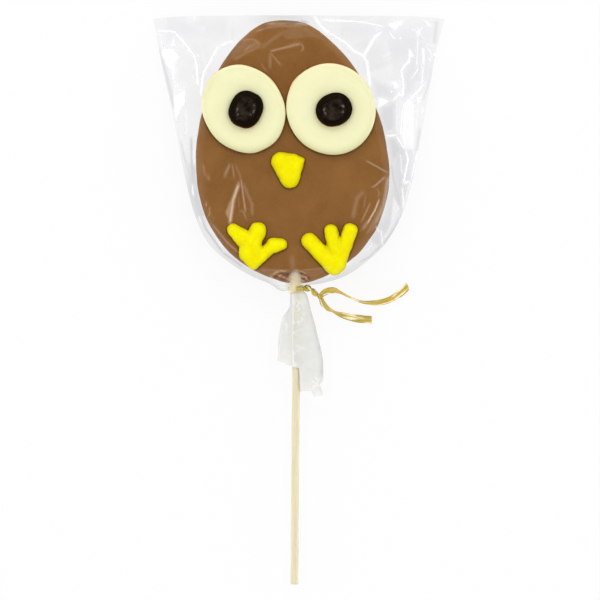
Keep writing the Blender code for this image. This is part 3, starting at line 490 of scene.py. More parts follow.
def segment_distance(x, y, start, end):
    """Distance of points from a straight line between two ends, and how far along it they lie."""
    run = np.array(end, dtype=float) - np.array(start, dtype=float)
    share = np.clip(((x - start[0]) * run[0] + (y - start[1]) * run[1]) / (run @ run), 0.0, 1.0)
    return np.hypot(x - start[0] - share * run[0], y - start[1] - share * run[1]), share


def head_height(x, y, grow=0.0):
    """Height of the head's front face, grown by this much; -1 where the head isn't."""
    inset, share = head_inset(x, y)
    inset = inset + grow
    rounding = HEAD_FRONT_ROUND + grow
    drop = rounding - np.sqrt(np.clip(rounding ** 2 - np.clip(rounding - inset, 0.0, None) ** 2, 0.0, None))
    crown = HEAD_CROWN * np.clip(1.0 - share ** 2, 0.0, 1.0)
    return np.where(inset > 0.0, HEAD_TOP + grow + crown - drop, -1.0)


def stick_x(y):
    return STICK_END_X + (y - STICK_END) * math.tan(STICK_LEAN)


def along_axes(x, y, centre, lean):
    """Offsets from a centre, along axes that lean anticlockwise by this many degrees."""
    lean_cos = math.cos(math.radians(lean))
    lean_sin = math.sin(math.radians(lean))
    return ((x - centre[0]) * lean_cos + (y - centre[1]) * lean_sin,
            (y - centre[1]) * lean_cos - (x - centre[0]) * lean_sin)


def icing_rise(radius):
    return ICING_RISE + ICING_SLOPE * radius


def ellipse_share(x, y, centre, half, lean):
    """How far out points lie in an ellipse, with 1 on its outline."""
    u, v = along_axes(x, y, centre, lean)
    return np.hypot(u / half[0], v / half[1])


def icing_spans():
    """Each pair of neighbouring blobs in each stroke of icing."""
    for strokes in (BEAK_STROKES, LEFT_FOOT_STROKES, RIGHT_FOOT_STROKES):
        for blobs in strokes:
            yield from zip(blobs, blobs[1:] + blobs[:1])


def icing_base(x, y):
    """Height of an icing blob's centre."""
    return float(head_height(np.array(x), np.array(y))) + ICING_LIFT


def blob_heights(x, y, centre, half, lean=0.0):
    """Height of the top of an ellipsoid over the points; -1 beside it."""
    u, v = along_axes(x, y, centre, lean)
    share = (u / half[0]) ** 2 + (v / half[1]) ** 2
    return np.where(share < 1.0, centre[2] + half[2] * np.sqrt(np.clip(1.0 - share, 0.0, 1.0)), -1.0)


def contents_height(x, y, grow):
    """Height of the top of all that the bag holds, grown by this much; -1 where there is nothing."""
    height = head_height(x, y, grow)
    for eye in EYES.values():
        share = ellipse_share(x, y, eye["centre"], np.array(eye["half"]) + grow, eye["lean"])
        height = np.where(share < 1.0, np.maximum(height, DISC_TOP + grow), height)
    for pupil in PUPILS.values():
        half = (pupil["half"][0] + grow, pupil["half"][1] + grow, PUPIL_HALF_HEIGHT + grow)
        tops = blob_heights(x, y, (*pupil["centre"], DISC_TOP + PUPIL_RISE), half, pupil["lean"])
        height = np.maximum(height, tops)
    for start, end in icing_spans():
        for share in np.linspace(0.0, 1.0, 7):
            cx, cy, radius = (1.0 - share) * np.array(start) + share * np.array(end)
            half = (radius + grow, radius + grow, icing_rise(radius) + grow)
            height = np.maximum(height, blob_heights(x, y, (cx, cy, icing_base(cx, cy)), half))
    return height


# Mesh helpers

def ripple(points, size, seed, terms=14):
    """Smooth noise of about unit height, with bumps of about this size."""
    random = np.random.default_rng(seed)
    total = np.zeros(points.shape[:-1])
    for _ in range(terms):
        direction = random.normal(size=points.shape[-1])
        direction *= random.uniform(0.6, 1.5) / np.linalg.norm(direction)
        total += np.cos(points @ direction * 2.0 * math.pi / size + random.uniform(0.0, 2.0 * math.pi))
    return total * math.sqrt(2.0 / terms)


def full_turn(count):
    """Angles all the way round."""
    return np.linspace(0.0, 2.0 * math.pi, count, endpoint=False)


def at_height(flat, height):
    """Points seen from above, set at one height or at one each."""
    return np.column_stack([flat, np.broadcast_to(height, len(flat))])


def uneven(points, bumps, seed):
    """Soft unevenness, from the size and height of each kind of bump."""
    return sum(height * ripple(points, size, seed + i) for i, (size, height) in enumerate(bumps))


def grid_faces(rows, columns, around=False):
    """The quads of a grid of points; around joins its last column to its first."""
    here = np.arange(rows * columns).reshape(rows, columns)
    if around:
        here = np.concatenate([here, here[:, :1]], axis=1)
    corners = np.stack([here[:-1, :-1], here[1:, :-1], here[1:, 1:], here[:-1, 1:]], axis=-1)
    return corners.reshape(-1, 4).tolist()


def add_piece(name, points, faces, material, node):
    """A smooth piece from points in millimetres, which stands for this node."""
    mesh = bpy.data.meshes.new(name)
    mesh.from_pydata((np.asarray(points, dtype=float).reshape(-1, 3) * MM).tolist(), [], faces)
    mesh.materials.append(material)
    mesh.shade_smooth()
    piece = bpy.data.objects.new(name, mesh)
    bpy.context.scene.collection.objects.link(piece)
    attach(piece, "root")
    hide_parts(node)
    return piece


def add_loft(name, rings, material, node, start=None, end=None):
    """A closed body through rings of equally many points, closed by a fan or a flat cap at each end."""
    rings = np.asarray(rings, dtype=float)
    rows, count, _ = rings.shape
    points = rings.reshape(-1, 3)
    faces = grid_faces(rows, count, around=True)
    first = list(range(count))
    last = [(rows - 1) * count + i for i in range(count)]
    for ring, tip, turned in ((first, start, True), (last, end, False)):
        loop = ring[::-1] if turned else ring
        if tip is None:
            faces.append(loop[::-1])
        else:
            points = np.vstack([points, tip])
            centre = len(points) - 1
            faces += [[loop[(i + 1) % count], loop[i], centre] for i in range(count)]
    piece = add_piece(name, points, faces, material, node)
    outward = bmesh.new()
    outward.from_mesh(piece.data)
    bmesh.ops.recalc_face_normals(outward, faces=outward.faces)
    outward.to_mesh(piece.data)
    outward.free()
    return piece


def set_values(piece, name, values, tip=0.0):
    """Stores one number for each point of the mesh, for the material to read. A loft's tips come last."""
    stored = np.full(len(piece.data.vertices), tip, dtype=np.float32)
    stored[:np.size(values)] = np.ravel(values)
    piece.data.attributes.new(name, "FLOAT", "POINT").data.foreach_set("value", stored)


# Material helpers

class Graph:
    """The node tree of a material or a world, with short calls to add and join nodes."""

    def __init__(self, owner):
        self.owner = owner
        owner.use_nodes = True
        self.tree = owner.node_tree
        self.tree.nodes.clear()

    def wire(self, socket, value):
        """Sets a socket, or joins it to another node's output."""
        if isinstance(value, bpy.types.NodeSocket):
            self.tree.links.new(value, socket)
        else:
            socket.default_value = value

    def node(self, kind, settings=None, **inputs):
        """Adds a node. Its inputs are found by their names, with _ for a space."""
        made = self.tree.nodes.new(kind)
        for key, value in (settings or {}).items():
            setattr(made, key, value)
        for key, value in inputs.items():
            name = key.replace("_", " ")
            self.wire(next(item for item in made.inputs if item.name == name and item.enabled), value)
        return made

    def numbered(self, kind, values, settings=None):
        """Adds a node whose first inputs have these values, and gives its first output."""
        made = self.node(kind, settings)
        for socket, value in zip(made.inputs, values):
            self.wire(socket, value)
        return made.outputs[0]

    def noise(self, size, detail, stretch=None):
        """Noise with bumps of about this size in millimetres, from 0 to 1."""
        place = self.node("ShaderNodeTexCoord").outputs["Object"]
        if stretch is not None:
            place = self.node("ShaderNodeMapping", Vector=place, Scale=stretch).outputs[0]
        made = self.node("ShaderNodeTexNoise", Vector=place, Scale=1.0 / (size * MM), Detail=detail,
                         Roughness=0.55)
        return made.outputs[0]

    def spread(self, value, low, high, to_low=0.0, to_high=1.0):
        """Maps a value from one range to another, and keeps it inside."""
        return self.numbered("ShaderNodeMapRange", (value, low, high, to_low, to_high))

    def cloud(self, size, detail, low, high, to_low=0.0, to_high=1.0, stretch=None):
        """Noise of this size, mapped from one range to another."""
        return self.spread(self.noise(size, detail, stretch), low, high, to_low, to_high)

    def mixed(self, share, first, second):
        """A colour between two."""
        made = self.node("ShaderNodeMix", {"data_type": "RGBA"})
        for index, value in ((0, share), (6, first), (7, second)):
            self.wire(made.inputs[index], value)
        return made.outputs[2]

    def layers(self, colour, *coats):
        """A colour under others. Each has its share, or a stored share's name, and its sRGB values."""
        for share, tint in coats:
            if isinstance(share, str):
                share = self.stored(share)
            colour = self.mixed(share, colour, srgb(*tint))
        return colour

    def blend(self, share, first, second):
        """A shader between two."""
        return self.numbered("ShaderNodeMixShader", (share, first, second))

    def sum(self, first, second, operation="ADD"):
        return self.numbered("ShaderNodeMath", (first, second), {"operation": operation})

    def times(self, first, second):
        return self.sum(first, second, "MULTIPLY")

    def stored(self, name):
        return self.node("ShaderNodeAttribute", {"attribute_name": name}).outputs["Fac"]

    def relief(self, fine, coarse, coarse_detail=2.0):
        """Bumps of two sizes, the coarse ones twice as deep."""
        return self.sum(self.noise(fine, 2.0), self.times(self.noise(coarse, coarse_detail), 2.0))

    def bump(self, height, distance):
        """A bump of this many millimetres."""
        return self.node("ShaderNodeBump", Strength=1.0, Distance=distance * MM, Height=height).outputs[0]

    def skin(self, colour, roughness, relief, depth, specular=0.5, **more):
        """The material of an opaque surface, with bumps of this many millimetres."""
        shader = self.node("ShaderNodeBsdfPrincipled", Base_Color=colour, Roughness=roughness,
                           Normal=self.bump(relief, depth), Specular_IOR_Level=specular, **more)
        return self.finish(shader.outputs[0])

    def finish(self, shader, output="ShaderNodeOutputMaterial"):
        self.node(output, Surface=shader)
        return self.owner


def new_material(name):
    return Graph(bpy.data.materials.new(name))


def chocolate_material():
    """Milk chocolate: soft mottling, a faint bloom, torn marks where the stick goes in with painted shade in
    their furrows and paler ridges, and a painted shadow line round the discs and icing.
    """
    g = new_material("milk_chocolate")
    colour = g.mixed(g.cloud(14.0, 4.0, 0.35, 0.68), srgb(133, 87, 34), srgb(145, 98, 44))
    grain = g.cloud(0.9, 2.0, 0.40, 0.75, 0.0, 0.22)
    torn = g.times(g.stored("torn"), g.cloud(1.2, 3.0, 0.36, 0.50, 0.65, 1.0))
    flake = g.times(g.stored("flake"), g.cloud(0.9, 3.0, 0.40, 0.56, 0.3, 1.0))
    # The torn furrows get painted shade, and the last layer is a painted shadow line round the discs and
    # icing.
    colour = g.layers(colour, (grain, (156, 112, 62)), (torn, (84, 20, 0)), (flake, (212, 168, 122)),
                      ("contact_shadow", (58, 36, 8)))
    return g.skin(colour, g.cloud(5.0, 4.0, 0.3, 0.7, 0.40, 0.52), g.relief(0.8, 3.5, 3.0), 0.045, 0.3)


def disc_material():
    """White chocolate: ivory, with painted shade along its rim that is deepest on its lower side, a thin warm
    line along its upper edge and a painted shadow round its pupil.
    """
    g = new_material("white_chocolate")
    colour = g.mixed(g.cloud(9.0, 3.0, 0.35, 0.65), srgb(254, 250, 199), srgb(252, 252, 203))
    specks = g.cloud(0.7, 2.0, 0.60, 0.72, 0.0, 0.25)
    # The first layer is painted shade along the rim, and the third is a painted shadow round the pupil.
    colour = g.layers(colour, ("rim", (206, 202, 146)), ("warm", (250, 208, 152)), ("pupil_shadow", (190, 196, 140)),
                      (specks, (255, 252, 226)))
    return g.skin(colour, g.cloud(3.0, 3.0, 0.3, 0.7, 0.36, 0.5), g.relief(0.9, 4.0), 0.035, 0.3)


def pupil_material():
    """Dark chocolate, glossy but slightly dented, with painted sheen: lighter on its level top and near black
    on its steep sides; reddish-brown towards its lower edge.
    """
    g = new_material("dark_chocolate")
    colour = g.mixed(g.cloud(3.4, 3.0, 0.38, 0.64), srgb(18, 9, 3), srgb(54, 42, 34))
    # Painted sheen: mottled lighter brown on the level top, near black on the steep sides.
    colour = g.mixed(g.stored("polish_and_painted_sheen"), srgb(18, 9, 0), colour)
    colour = g.layers(colour, ("rim", (150, 76, 20)))
    return g.skin(colour, g.cloud(1.8, 3.0, 0.3, 0.7, 0.34, 0.46), g.noise(2.6, 2.0), 0.03, 0.03,
                  Coat_Weight=g.times(g.stored("polish_and_painted_sheen"), 0.20), Coat_Roughness=0.11)


def icing_material():
    """Bright yellow icing with a set, satin skin, and painted shade on its steep sides and where it meets the
    chocolate.
    """
    g = new_material("yellow_icing")
    colour = g.mixed(g.cloud(4.0, 3.0, 0.35, 0.68), srgb(250, 234, 0), srgb(255, 248, 0))
    grain = g.cloud(0.6, 2.0, 0.55, 0.75, 0.0, 0.2)
    # The two stored layers are painted shade: on the steep sides, and where the icing meets the chocolate.
    colour = g.layers(colour, (grain, (255, 252, 20)), ("edge", (196, 176, 0)), ("foot", (96, 72, 0)))
    return g.skin(colour, g.cloud(1.5, 3.0, 0.3, 0.7, 0.30, 0.46), g.relief(0.6, 2.6), 0.035, 0.05)


def wood_material():
    """Pale birch: long streaks, fine pores and a cut end of a deeper colour."""
    g = new_material("birch")
    long_grain = (1.0, 0.035, 1.0)
    streaks = g.cloud(0.55, 4.0, 0.36, 0.68, stretch=long_grain)
    bands = g.cloud(26.0, 2.0, 0.35, 0.7, 0.0, 0.55)
    pores = g.cloud(0.22, 2.0, 0.63, 0.72, 0.0, 0.45, (1.0, 0.08, 1.0))
    colour = g.mixed(streaks, srgb(235, 227, 202), srgb(216, 204, 166))
    colour = g.layers(colour, (bands, (229, 216, 178)), (pores, (186, 158, 110)), ("cut", (196, 168, 118)))
    roughness = g.cloud(0.8, 3.0, 0.3, 0.7, 0.55, 0.75, long_grain)
    return g.skin(colour, roughness, g.noise(0.3, 3.0, (1.0, 0.06, 1.0)), 0.06)


def ribbon_material():
    """Gold raffia ribbon: fine fibres along its length, painted shade between its ridges, and pale cream
    streaks that are partly pale fibres and partly painted highlights.
    """
    g = new_material("raffia")
    along = g.node("ShaderNodeUVMap", {"uv_map": "strip"}).outputs[0]

    def streaks(stretch, start, **settings):
        place = g.node("ShaderNodeMapping", Vector=along, Location=(start, start, start), Scale=stretch)
        return g.node("ShaderNodeTexNoise", Vector=place.outputs[0], Scale=1.0, **settings).outputs[0]

    fibres = streaks((8.0, 0.10, 1.0), 0.0, Detail=4.0, Roughness=0.62)
    colour = g.mixed(g.spread(fibres, 0.38, 0.62), srgb(192, 156, 40), srgb(250, 226, 124))
    # Painted shade in the hollows between the ridges.
    colour = g.layers(colour, (g.times(g.stored("groove_shade"), 0.7), (164, 138, 40)))
    # The olive and orange streaks are fibre tone; the cream streaks are partly pale fibres and partly painted
    # highlights.
    for start, low, high, share, tint in ((10.0, 0.50, 0.60, 0.75, (160, 152, 66)),
                                          (40.0, 0.54, 0.62, 0.60, (226, 168, 64)),
                                          (90.0, 0.54, 0.62, 0.90, (255, 248, 206))):
        streak = streaks((2.6, 0.09, 1.0), start, Detail=2.0)
        colour = g.layers(colour, (g.spread(streak, low, high, 0.0, share), tint))
    return g.skin(colour, g.spread(fibres, 0.3, 0.7, 0.26, 0.5), fibres, 0.10, 0.25,
                  Coat_Weight=0.1, Coat_Roughness=0.2)


def film_material(name, clear, milky, haze, cloudiness, translucent):
    """Thin clear film: what lies behind shows through, with painted highlights along its folds and painted
    shade beside some of them, and a soft sheen.
    """
    g = new_material(name)
    gloss = g.node("ShaderNodeBsdfGlossy", Normal=g.bump(g.noise(2.6, 3.0), 0.018),
                   Roughness=g.cloud(2.4, 3.0, 0.3, 0.7, 0.08, 0.18))
    facing = g.node("ShaderNodeLayerWeight", Blend=0.5).outputs["Facing"]
    tint = g.mixed(g.spread(facing, 0.15, 0.9), clear, (0.86, 0.865, 0.865, 1.0))
    # Painted shade greys what shows through the film.
    tint = g.mixed(g.stored("painted_film_shade"), tint, (0.62, 0.62, 0.64, 1.0))
    through = g.node("ShaderNodeBsdfTransparent", Color=tint)
    pale = milky
    # Painted highlights whiten the milk and painted shade greys it. Over the head the milk takes a brown
    # tint, and at the neck it is creamy.
    for stored, colour in (("painted_highlight_and_milk", (0.97, 0.97, 0.98, 1.0)), ("painted_film_shade", (0.62, 0.63, 0.62, 1.0)),
                           ("clinging", (1.0, 0.76, 0.55, 1.0)), ("creamy", srgb(247, 236, 198))):
        pale = g.mixed(g.stored(stored), pale, colour)
    milk = g.blend(translucent, g.node("ShaderNodeBsdfDiffuse", Color=pale).outputs[0],
                   g.node("ShaderNodeBsdfTranslucent", Color=pale).outputs[0])
    free = g.sum(1.0, g.stored("clinging"), "SUBTRACT")
    cloudy = g.times(g.cloud(5.0, 3.0, 0.3, 0.7, haze - cloudiness, haze + cloudiness), free)
    # Painted highlights and the film's own milkiness turn it white.
    body = g.blend(g.sum(cloudy, g.stored("painted_highlight_and_milk")), through.outputs[0], milk)
    mirrored = g.spread(g.sum(facing, 5.0, "POWER"), 0.0, 1.0, FILM_MIRROR_LEVEL, FILM_MIRROR_EDGE)
    return g.finish(g.blend(g.times(mirrored, free), body, gloss.outputs[0]))


# The head and what is on its face

def make_head(material):
    """The chocolate-coated egg: flat back, rounded edge, softly uneven face."""
    rounding = np.linspace(0.0, 0.5 * math.pi, 9)
    profile = [(HEAD_BACK_ROUND * (1.0 - math.sin(a)), HEAD_BASE + HEAD_BACK_ROUND * (1.0 - math.cos(a)))
               for a in rounding]
    wall = np.linspace(HEAD_BASE + HEAD_BACK_ROUND, HEAD_TOP - HEAD_FRONT_ROUND, 9)
    profile += [(0.0, height) for height in wall[1:-1]]
    profile += [(HEAD_FRONT_ROUND * (1.0 - math.cos(a)), HEAD_TOP - HEAD_FRONT_ROUND * (1.0 - math.sin(a)))
                for a in np.linspace(0.0, 0.5 * math.pi, 15)]
    back = head_outline(HEAD_SIDES, -HEAD_BACK_ROUND, HEAD_CROWDING) - np.array(HEAD_CENTRE)
    rings = []
    for scale in np.linspace(0.06, 0.94, 12):
        rings.append(at_height(HEAD_CENTRE + scale * back, HEAD_BASE))
    for inset, height in profile:
        rings.append(at_height(head_outline(HEAD_SIDES, -inset, HEAD_CROWDING), height))
    face = head_outline(HEAD_SIDES, -HEAD_FRONT_ROUND, HEAD_CROWDING) - np.array(HEAD_CENTRE)
    for scale in np.linspace(0.995, 0.01, HEAD_FACE_RINGS):
        rings.append(at_height(HEAD_CENTRE + scale * face, HEAD_TOP + HEAD_CROWN * (1.0 - scale ** 2)))
    rings = np.array(rings)
    centre = np.array([*HEAD_CENTRE, STICK_HEIGHT])
    outward = rings - centre
    outward[:, :, 2] *= 3.0
    outward /= np.linalg.norm(outward, axis=2, keepdims=True)
    from_back = np.clip(rings[:, :, 2] - HEAD_BASE, 0.0, 1.0)
    rings += outward * (uneven(rings, HEAD_UNEVEN, SEEDS["head"]) * from_back)[:, :, None]
    # The furrows are sunk and darkened as painted shade; the ridges are raised and paler.
    torn = torn_share(rings, TORN_FURROWS)
    flake = torn_share(rings, TORN_RIDGES)
    crumbs = 0.15 * torn * ripple(rings, 1.7, SEEDS["torn"])
    rings[:, :, 2] += RIDGE_HEIGHT * flake - FURROW_DEPTH * torn + crumbs
    from_stick = (rings[:, :, 0] - stick_x(LIP_Y)) ** 2 + (rings[:, :, 2] - STICK_HEIGHT) ** 2
    rings[:, :, 1] -= np.where(rings[:, :, 1] < LIP_END, LIP_PULL * np.exp(-from_stick / LIP_REACH ** 2), 0.0)
    head = add_loft("chocolate_head", rings, material, "head",
                    start=(*HEAD_CENTRE, HEAD_BASE), end=(*HEAD_CENTRE, HEAD_TOP + HEAD_CROWN))
    set_values(head, "torn", torn)
    set_values(head, "flake", flake)
    # Painted shadow: a dark line on the face round the discs and icing, shifted down the face.
    near = np.clip(topping_distance(rings[:, :, 0], rings[:, :, 1] + CONTACT_SHADOW_DROP), 0.0, None)
    on_face = np.clip((rings[:, :, 2] - HEAD_TOP + CONTACT_SHADOW_START) / CONTACT_SHADOW_FADE, 0.0, 1.0)
    contact_shadow = on_face * CONTACT_SHADOW_SHARE * np.exp(-(near / CONTACT_SHADOW_WIDTH) ** 2)
    set_values(head, "contact_shadow", contact_shadow)


def topping_distance(x, y):
    """How far points are, seen from above, from the nearest disc or icing (below zero under it)."""
    nearest = np.full(x.shape, np.inf)
    for eye in EYES.values():
        share = ellipse_share(x, y, eye["centre"], eye["half"], eye["lean"])
        from_centre = np.hypot(x - eye["centre"][0], y - eye["centre"][1])
        nearest = np.minimum(nearest, (share - 1.0) * from_centre / np.maximum(share, 1e-6))
    for start, end in icing_spans():
        distance, share = segment_distance(x, y, start[:2], end[:2])
        nearest = np.minimum(nearest, distance - (1.0 - share) * start[2] - share * end[2])
    return nearest


def torn_share(points, marks):
    """How much each point of the chocolate belongs to marks torn where the stick goes in, from 0 to 1."""
    share = np.zeros(points.shape[:2])
    near = points[:, :, 2] > 8.0
    for half_width, line in marks:
        found = fold_share(points[near][:, 0], points[near][:, 1], line, half_width)
        share[near] = np.maximum(share[near], found)
    return share


def wobbly_ellipse(half, angles, seed, corner):
    """An ellipse with a slightly uneven outline and, at one angle in degrees, a faint corner."""
    random = np.random.default_rng(seed)
    radius = np.ones_like(angles)
    for waves in (2, 3, 5, 8):
        radius += random.normal() * 0.0022 * np.cos(waves * angles + random.uniform(0.0, 2.0 * math.pi))
    turn = np.angle(np.exp(1j * (angles - math.radians(corner))))
    radius += 0.011 * np.exp(-(turn / 0.16) ** 2)
    return np.stack([half[0] * radius * np.cos(angles), half[1] * radius * np.sin(angles)], axis=1)


def leaning(points, centre, lean):
    """Turns flat points by a lean in degrees and sets them round a centre."""
    lean_cos = math.cos(math.radians(lean))
    lean_sin = math.sin(math.radians(lean))
    turned = np.stack([points[:, 0] * lean_cos - points[:, 1] * lean_sin,
                       points[:, 0] * lean_sin + points[:, 1] * lean_cos], axis=1)
    return turned + np.array(centre)


def make_disc(side, material):
    """A poured disc: rounded rim, faint dish, pressed in round its pupil."""
    eye, pupil = EYES[side], PUPILS[side]
    outline = wobbly_ellipse(eye["half"], full_turn(EYE_SIDES), eye["seed"], eye["corner"])
    reach = np.linalg.norm(outline, axis=1, keepdims=True)

    def inside(inset, scale=1.0):
        return leaning(outline * (1.0 - inset / reach) * scale, eye["centre"], eye["lean"])

    rings = []
    for inset, rise in DISC_UNDERSIDE:
        flat = inside(inset)
        resting = np.maximum(head_height(flat[:, 0], flat[:, 1]), HEAD_TOP + HEAD_CROWN - EYE_SINK)
        rings.append(at_height(flat, resting + rise))
    for a in np.linspace(0.0, 0.5 * math.pi, 10):
        height = DISC_TOP - EYE_ROUND * (1.0 - math.sin(a))
        rings.append(at_height(inside(EYE_ROUND * (1.0 - math.cos(a))), height))
    upper = np.zeros(len(rings) + DISC_TOP_RINGS)
    upper[len(rings) - 4:] = 1.0
    for scale in np.linspace(0.98, 0.02, DISC_TOP_RINGS):
        rings.append(at_height(inside(EYE_ROUND, scale), DISC_TOP))
    rings = np.array(rings)
    x, y = rings[:, :, 0], rings[:, :, 1]
    beside = ellipse_share(x, y, pupil["centre"], pupil["half"], pupil["lean"])
    pressed = PUPIL_PRESS * np.exp(-(np.clip(beside - 0.9, 0.0, None) / 0.32) ** 2)
    rings[:, :, 2] += upper[:, None] * (uneven(rings, DISC_UNEVEN, eye["seed"]) - pressed)
    piece = add_loft(f"white_disc_{side}", rings, material, f"eye_{side}",
                     start=(*eye["centre"], DISC_TOP - 1.6), end=(*eye["centre"], DISC_TOP - PUPIL_PRESS))
    share = ellipse_share(x, y, eye["centre"], eye["half"], eye["lean"])
    inward = np.clip((1.0 - share) * np.mean(eye["half"]), 0.0, None)
    upward = (y - eye["centre"][1]) / eye["half"][1]
    # Painted shade along the rim, deepest on the lower side.
    rim = (0.14 + 0.55 * np.clip(-upward, 0.0, 1.0)) * np.exp(-(inward / DISC_SHADE_WIDTH) ** 2)
    set_values(piece, "rim", rim)
    warm = 0.8 * np.clip(upward + 0.25, 0.0, 1.0) * np.exp(-(inward / 0.4) ** 2)
    set_values(piece, "warm", warm)
    # Painted shadow on the disc round its pupil.
    pupil_shadow = 0.15 * upper[:, None] * np.exp(-(np.clip(beside - 1.0, 0.0, None) / 0.15) ** 2)
    set_values(piece, "pupil_shadow", pupil_shadow)


def make_pupil(side, material):
    """A round sweet, a little squarer than an ellipse and slightly dented."""
    pupil = PUPILS[side]
    centre = np.array([*pupil["centre"], DISC_TOP + PUPIL_RISE])
    angles = full_turn(PUPIL_SIDES)
    power = 2.0 / pupil["square"]
    plan = np.stack([pupil["half"][0] * np.sign(np.cos(angles)) * np.abs(np.cos(angles)) ** power,
                     pupil["half"][1] * np.sign(np.sin(angles)) * np.abs(np.sin(angles)) ** power], axis=1)
    rings = []
    for tilt in np.linspace(0.04, math.pi - 0.04, PUPIL_RINGS):
        flat = leaning(plan * math.sin(tilt) ** 0.94, centre[:2], pupil["lean"])
        rise = -math.cos(tilt)
        rise = max(rise, 0.0) ** PUPIL_DOME + min(rise, 0.0)
        rings.append(at_height(flat, centre[2] + PUPIL_HALF_HEIGHT * rise))
    rings = np.array(rings)
    outward = rings - centre
    outward /= np.linalg.norm(outward, axis=2, keepdims=True)
    rings += outward * uneven(rings, PUPIL_UNEVEN, SEEDS["pupil"])[:, :, None]
    tip = np.array([0.0, 0.0, PUPIL_HALF_HEIGHT])
    piece = add_loft(f"dark_pupil_{side}", rings, material, f"pupil_{side}",
                     start=centre - tip, end=centre + tip)
    facing = np.empty(3 * len(piece.data.vertices))
    piece.data.vertex_normals.foreach_get("vector", facing)
    # This share dulls the coat on the steep sides and is also the painted sheen on the level top.
    set_values(piece, "polish_and_painted_sheen", np.clip((facing[2::3] - PUPIL_DULL) / 0.035, 0.0, 1.0))
    low = 0.6 * np.clip((centre[2] + 0.9 - rings[:, :, 2]) / 0.9, 0.0, 1.0)
    downward = np.clip((centre[1] - rings[:, :, 1]) / pupil["half"][1], 0.0, 1.0)
    set_values(piece, "rim", low * downward)


def stroke_hull(blobs):
    """Points and faces of the convex body round a stroke's blobs, each set on the head's face."""
    body = bmesh.new()
    for x, y, radius in blobs:
        base = icing_base(x, y)
        rise = icing_rise(radius) + ICING_SWELL
        for tilt in np.linspace(0.0, math.pi, 19):
            for turn in full_turn(40):
                reach = (radius + ICING_SWELL) * math.sin(tilt)
                body.verts.new((x + reach * math.cos(turn), y + reach * math.sin(turn),
                                base + rise * math.cos(tilt)))
    bmesh.ops.remove_doubles(body, verts=body.verts, dist=1e-4)
    result = bmesh.ops.convex_hull(body, input=body.verts)
    inside = [item for item in result["geom_interior"] if isinstance(item, bmesh.types.BMVert)]
    bmesh.ops.delete(body, geom=inside, context="VERTS")
    bmesh.ops.recalc_face_normals(body, faces=body.faces)
    body.verts.index_update()
    points = [tuple(vertex.co) for vertex in body.verts]
    faces = [[vertex.index for vertex in face.verts] for face in body.faces]
    body.free()
    return points, faces


def make_icing(name, strokes, node, material):
    """Strokes run together into one piece of icing, softened where they meet."""
    points, faces = [], []
    for blobs in strokes:
        new_points, new_faces = stroke_hull(blobs)
        faces += [[index + len(points) for index in face] for face in new_faces]
        points += new_points
    piece = add_piece(name, points, faces, material, node)
    remesh = piece.modifiers.new("run together", "REMESH")
    remesh.mode = "VOXEL"
    remesh.voxel_size = ICING_VOXEL * MM
    smooth = piece.modifiers.new("soften", "SMOOTH")
    smooth.iterations = ICING_SMOOTHING
    smooth.factor = 0.5
    graph = bpy.context.evaluated_depsgraph_get()
    softened = bpy.data.meshes.new_from_object(piece.evaluated_get(graph))
    piece.modifiers.clear()
    piece.data = softened
    count = len(softened.vertices)
    places = np.empty(count * 3)
    softened.vertices.foreach_get("co", places)
    places = places.reshape(-1, 3) / MM
    directions = np.empty(count * 3)
    softened.vertex_normals.foreach_get("vector", directions)
    directions = directions.reshape(-1, 3)
    places += directions * uneven(places, ICING_UNEVEN, SEEDS["icing"])[:, None]
    softened.vertices.foreach_set("co", (places * MM).ravel())
    softened.shade_smooth()
    # Painted shade where the icing turns steep.
    steep = 1.0 - np.clip(directions[:, 2], 0.0, 1.0)
    set_values(piece, "edge", 0.62 * np.clip((steep - 0.03) / ICING_SHADE_TURN, 0.0, 1.0))
    # Painted shade where the icing meets the chocolate.
    above = places[:, 2] - np.maximum(head_height(places[:, 0], places[:, 1]), HEAD_TOP - 1.5)
    set_values(piece, "foot", 0.45 * np.clip(1.0 - above / 0.6, 0.0, 1.0))


def make_stick(material):
    """The stick, not quite straight-sided, with a chamfered cut end."""
    y = np.concatenate([[STICK_END, STICK_END + 0.12, STICK_END + 0.28],
                        np.linspace(STICK_END + 0.6, STICK_END + STICK_LENGTH, STICK_STATIONS)])
    radius = np.full(len(y), STICK_RADIUS)
    radius[:3] = STICK_RADIUS - np.array([0.28, 0.12, 0.03])
    turns = full_turn(STICK_SIDES)
    ring_x = stick_x(y)[:, None] + radius[:, None] * np.cos(turns)[None, :]
    ring_z = STICK_HEIGHT + radius[:, None] * np.sin(turns)[None, :]
    rings = np.stack([ring_x, np.repeat(y[:, None], STICK_SIDES, axis=1), ring_z], axis=2)
    grain = ripple(rings * np.array([1.0, 0.04, 1.0]), 1.1, SEEDS["stick"])
    scale = 1.0 + 0.012 * grain + 0.010 * ripple(rings, 30.0, SEEDS["stick"] + 1)
    axis = np.stack([stick_x(y), y, np.full(len(y), STICK_HEIGHT)], axis=1)[:, None, :]
    rings = axis + (rings - axis) * scale[:, :, None]
    piece = add_loft("birch_stick", rings, material, "stick",
                     start=(stick_x(STICK_END), STICK_END - 0.02, STICK_HEIGHT),
                     end=(stick_x(y[-1]), y[-1], STICK_HEIGHT))
    cut = np.zeros(rings.shape[:2])
    cut[0] = 1.0
    cut[1] = 0.7
    set_values(piece, "cut", cut, tip=1.0)


# The ribbon

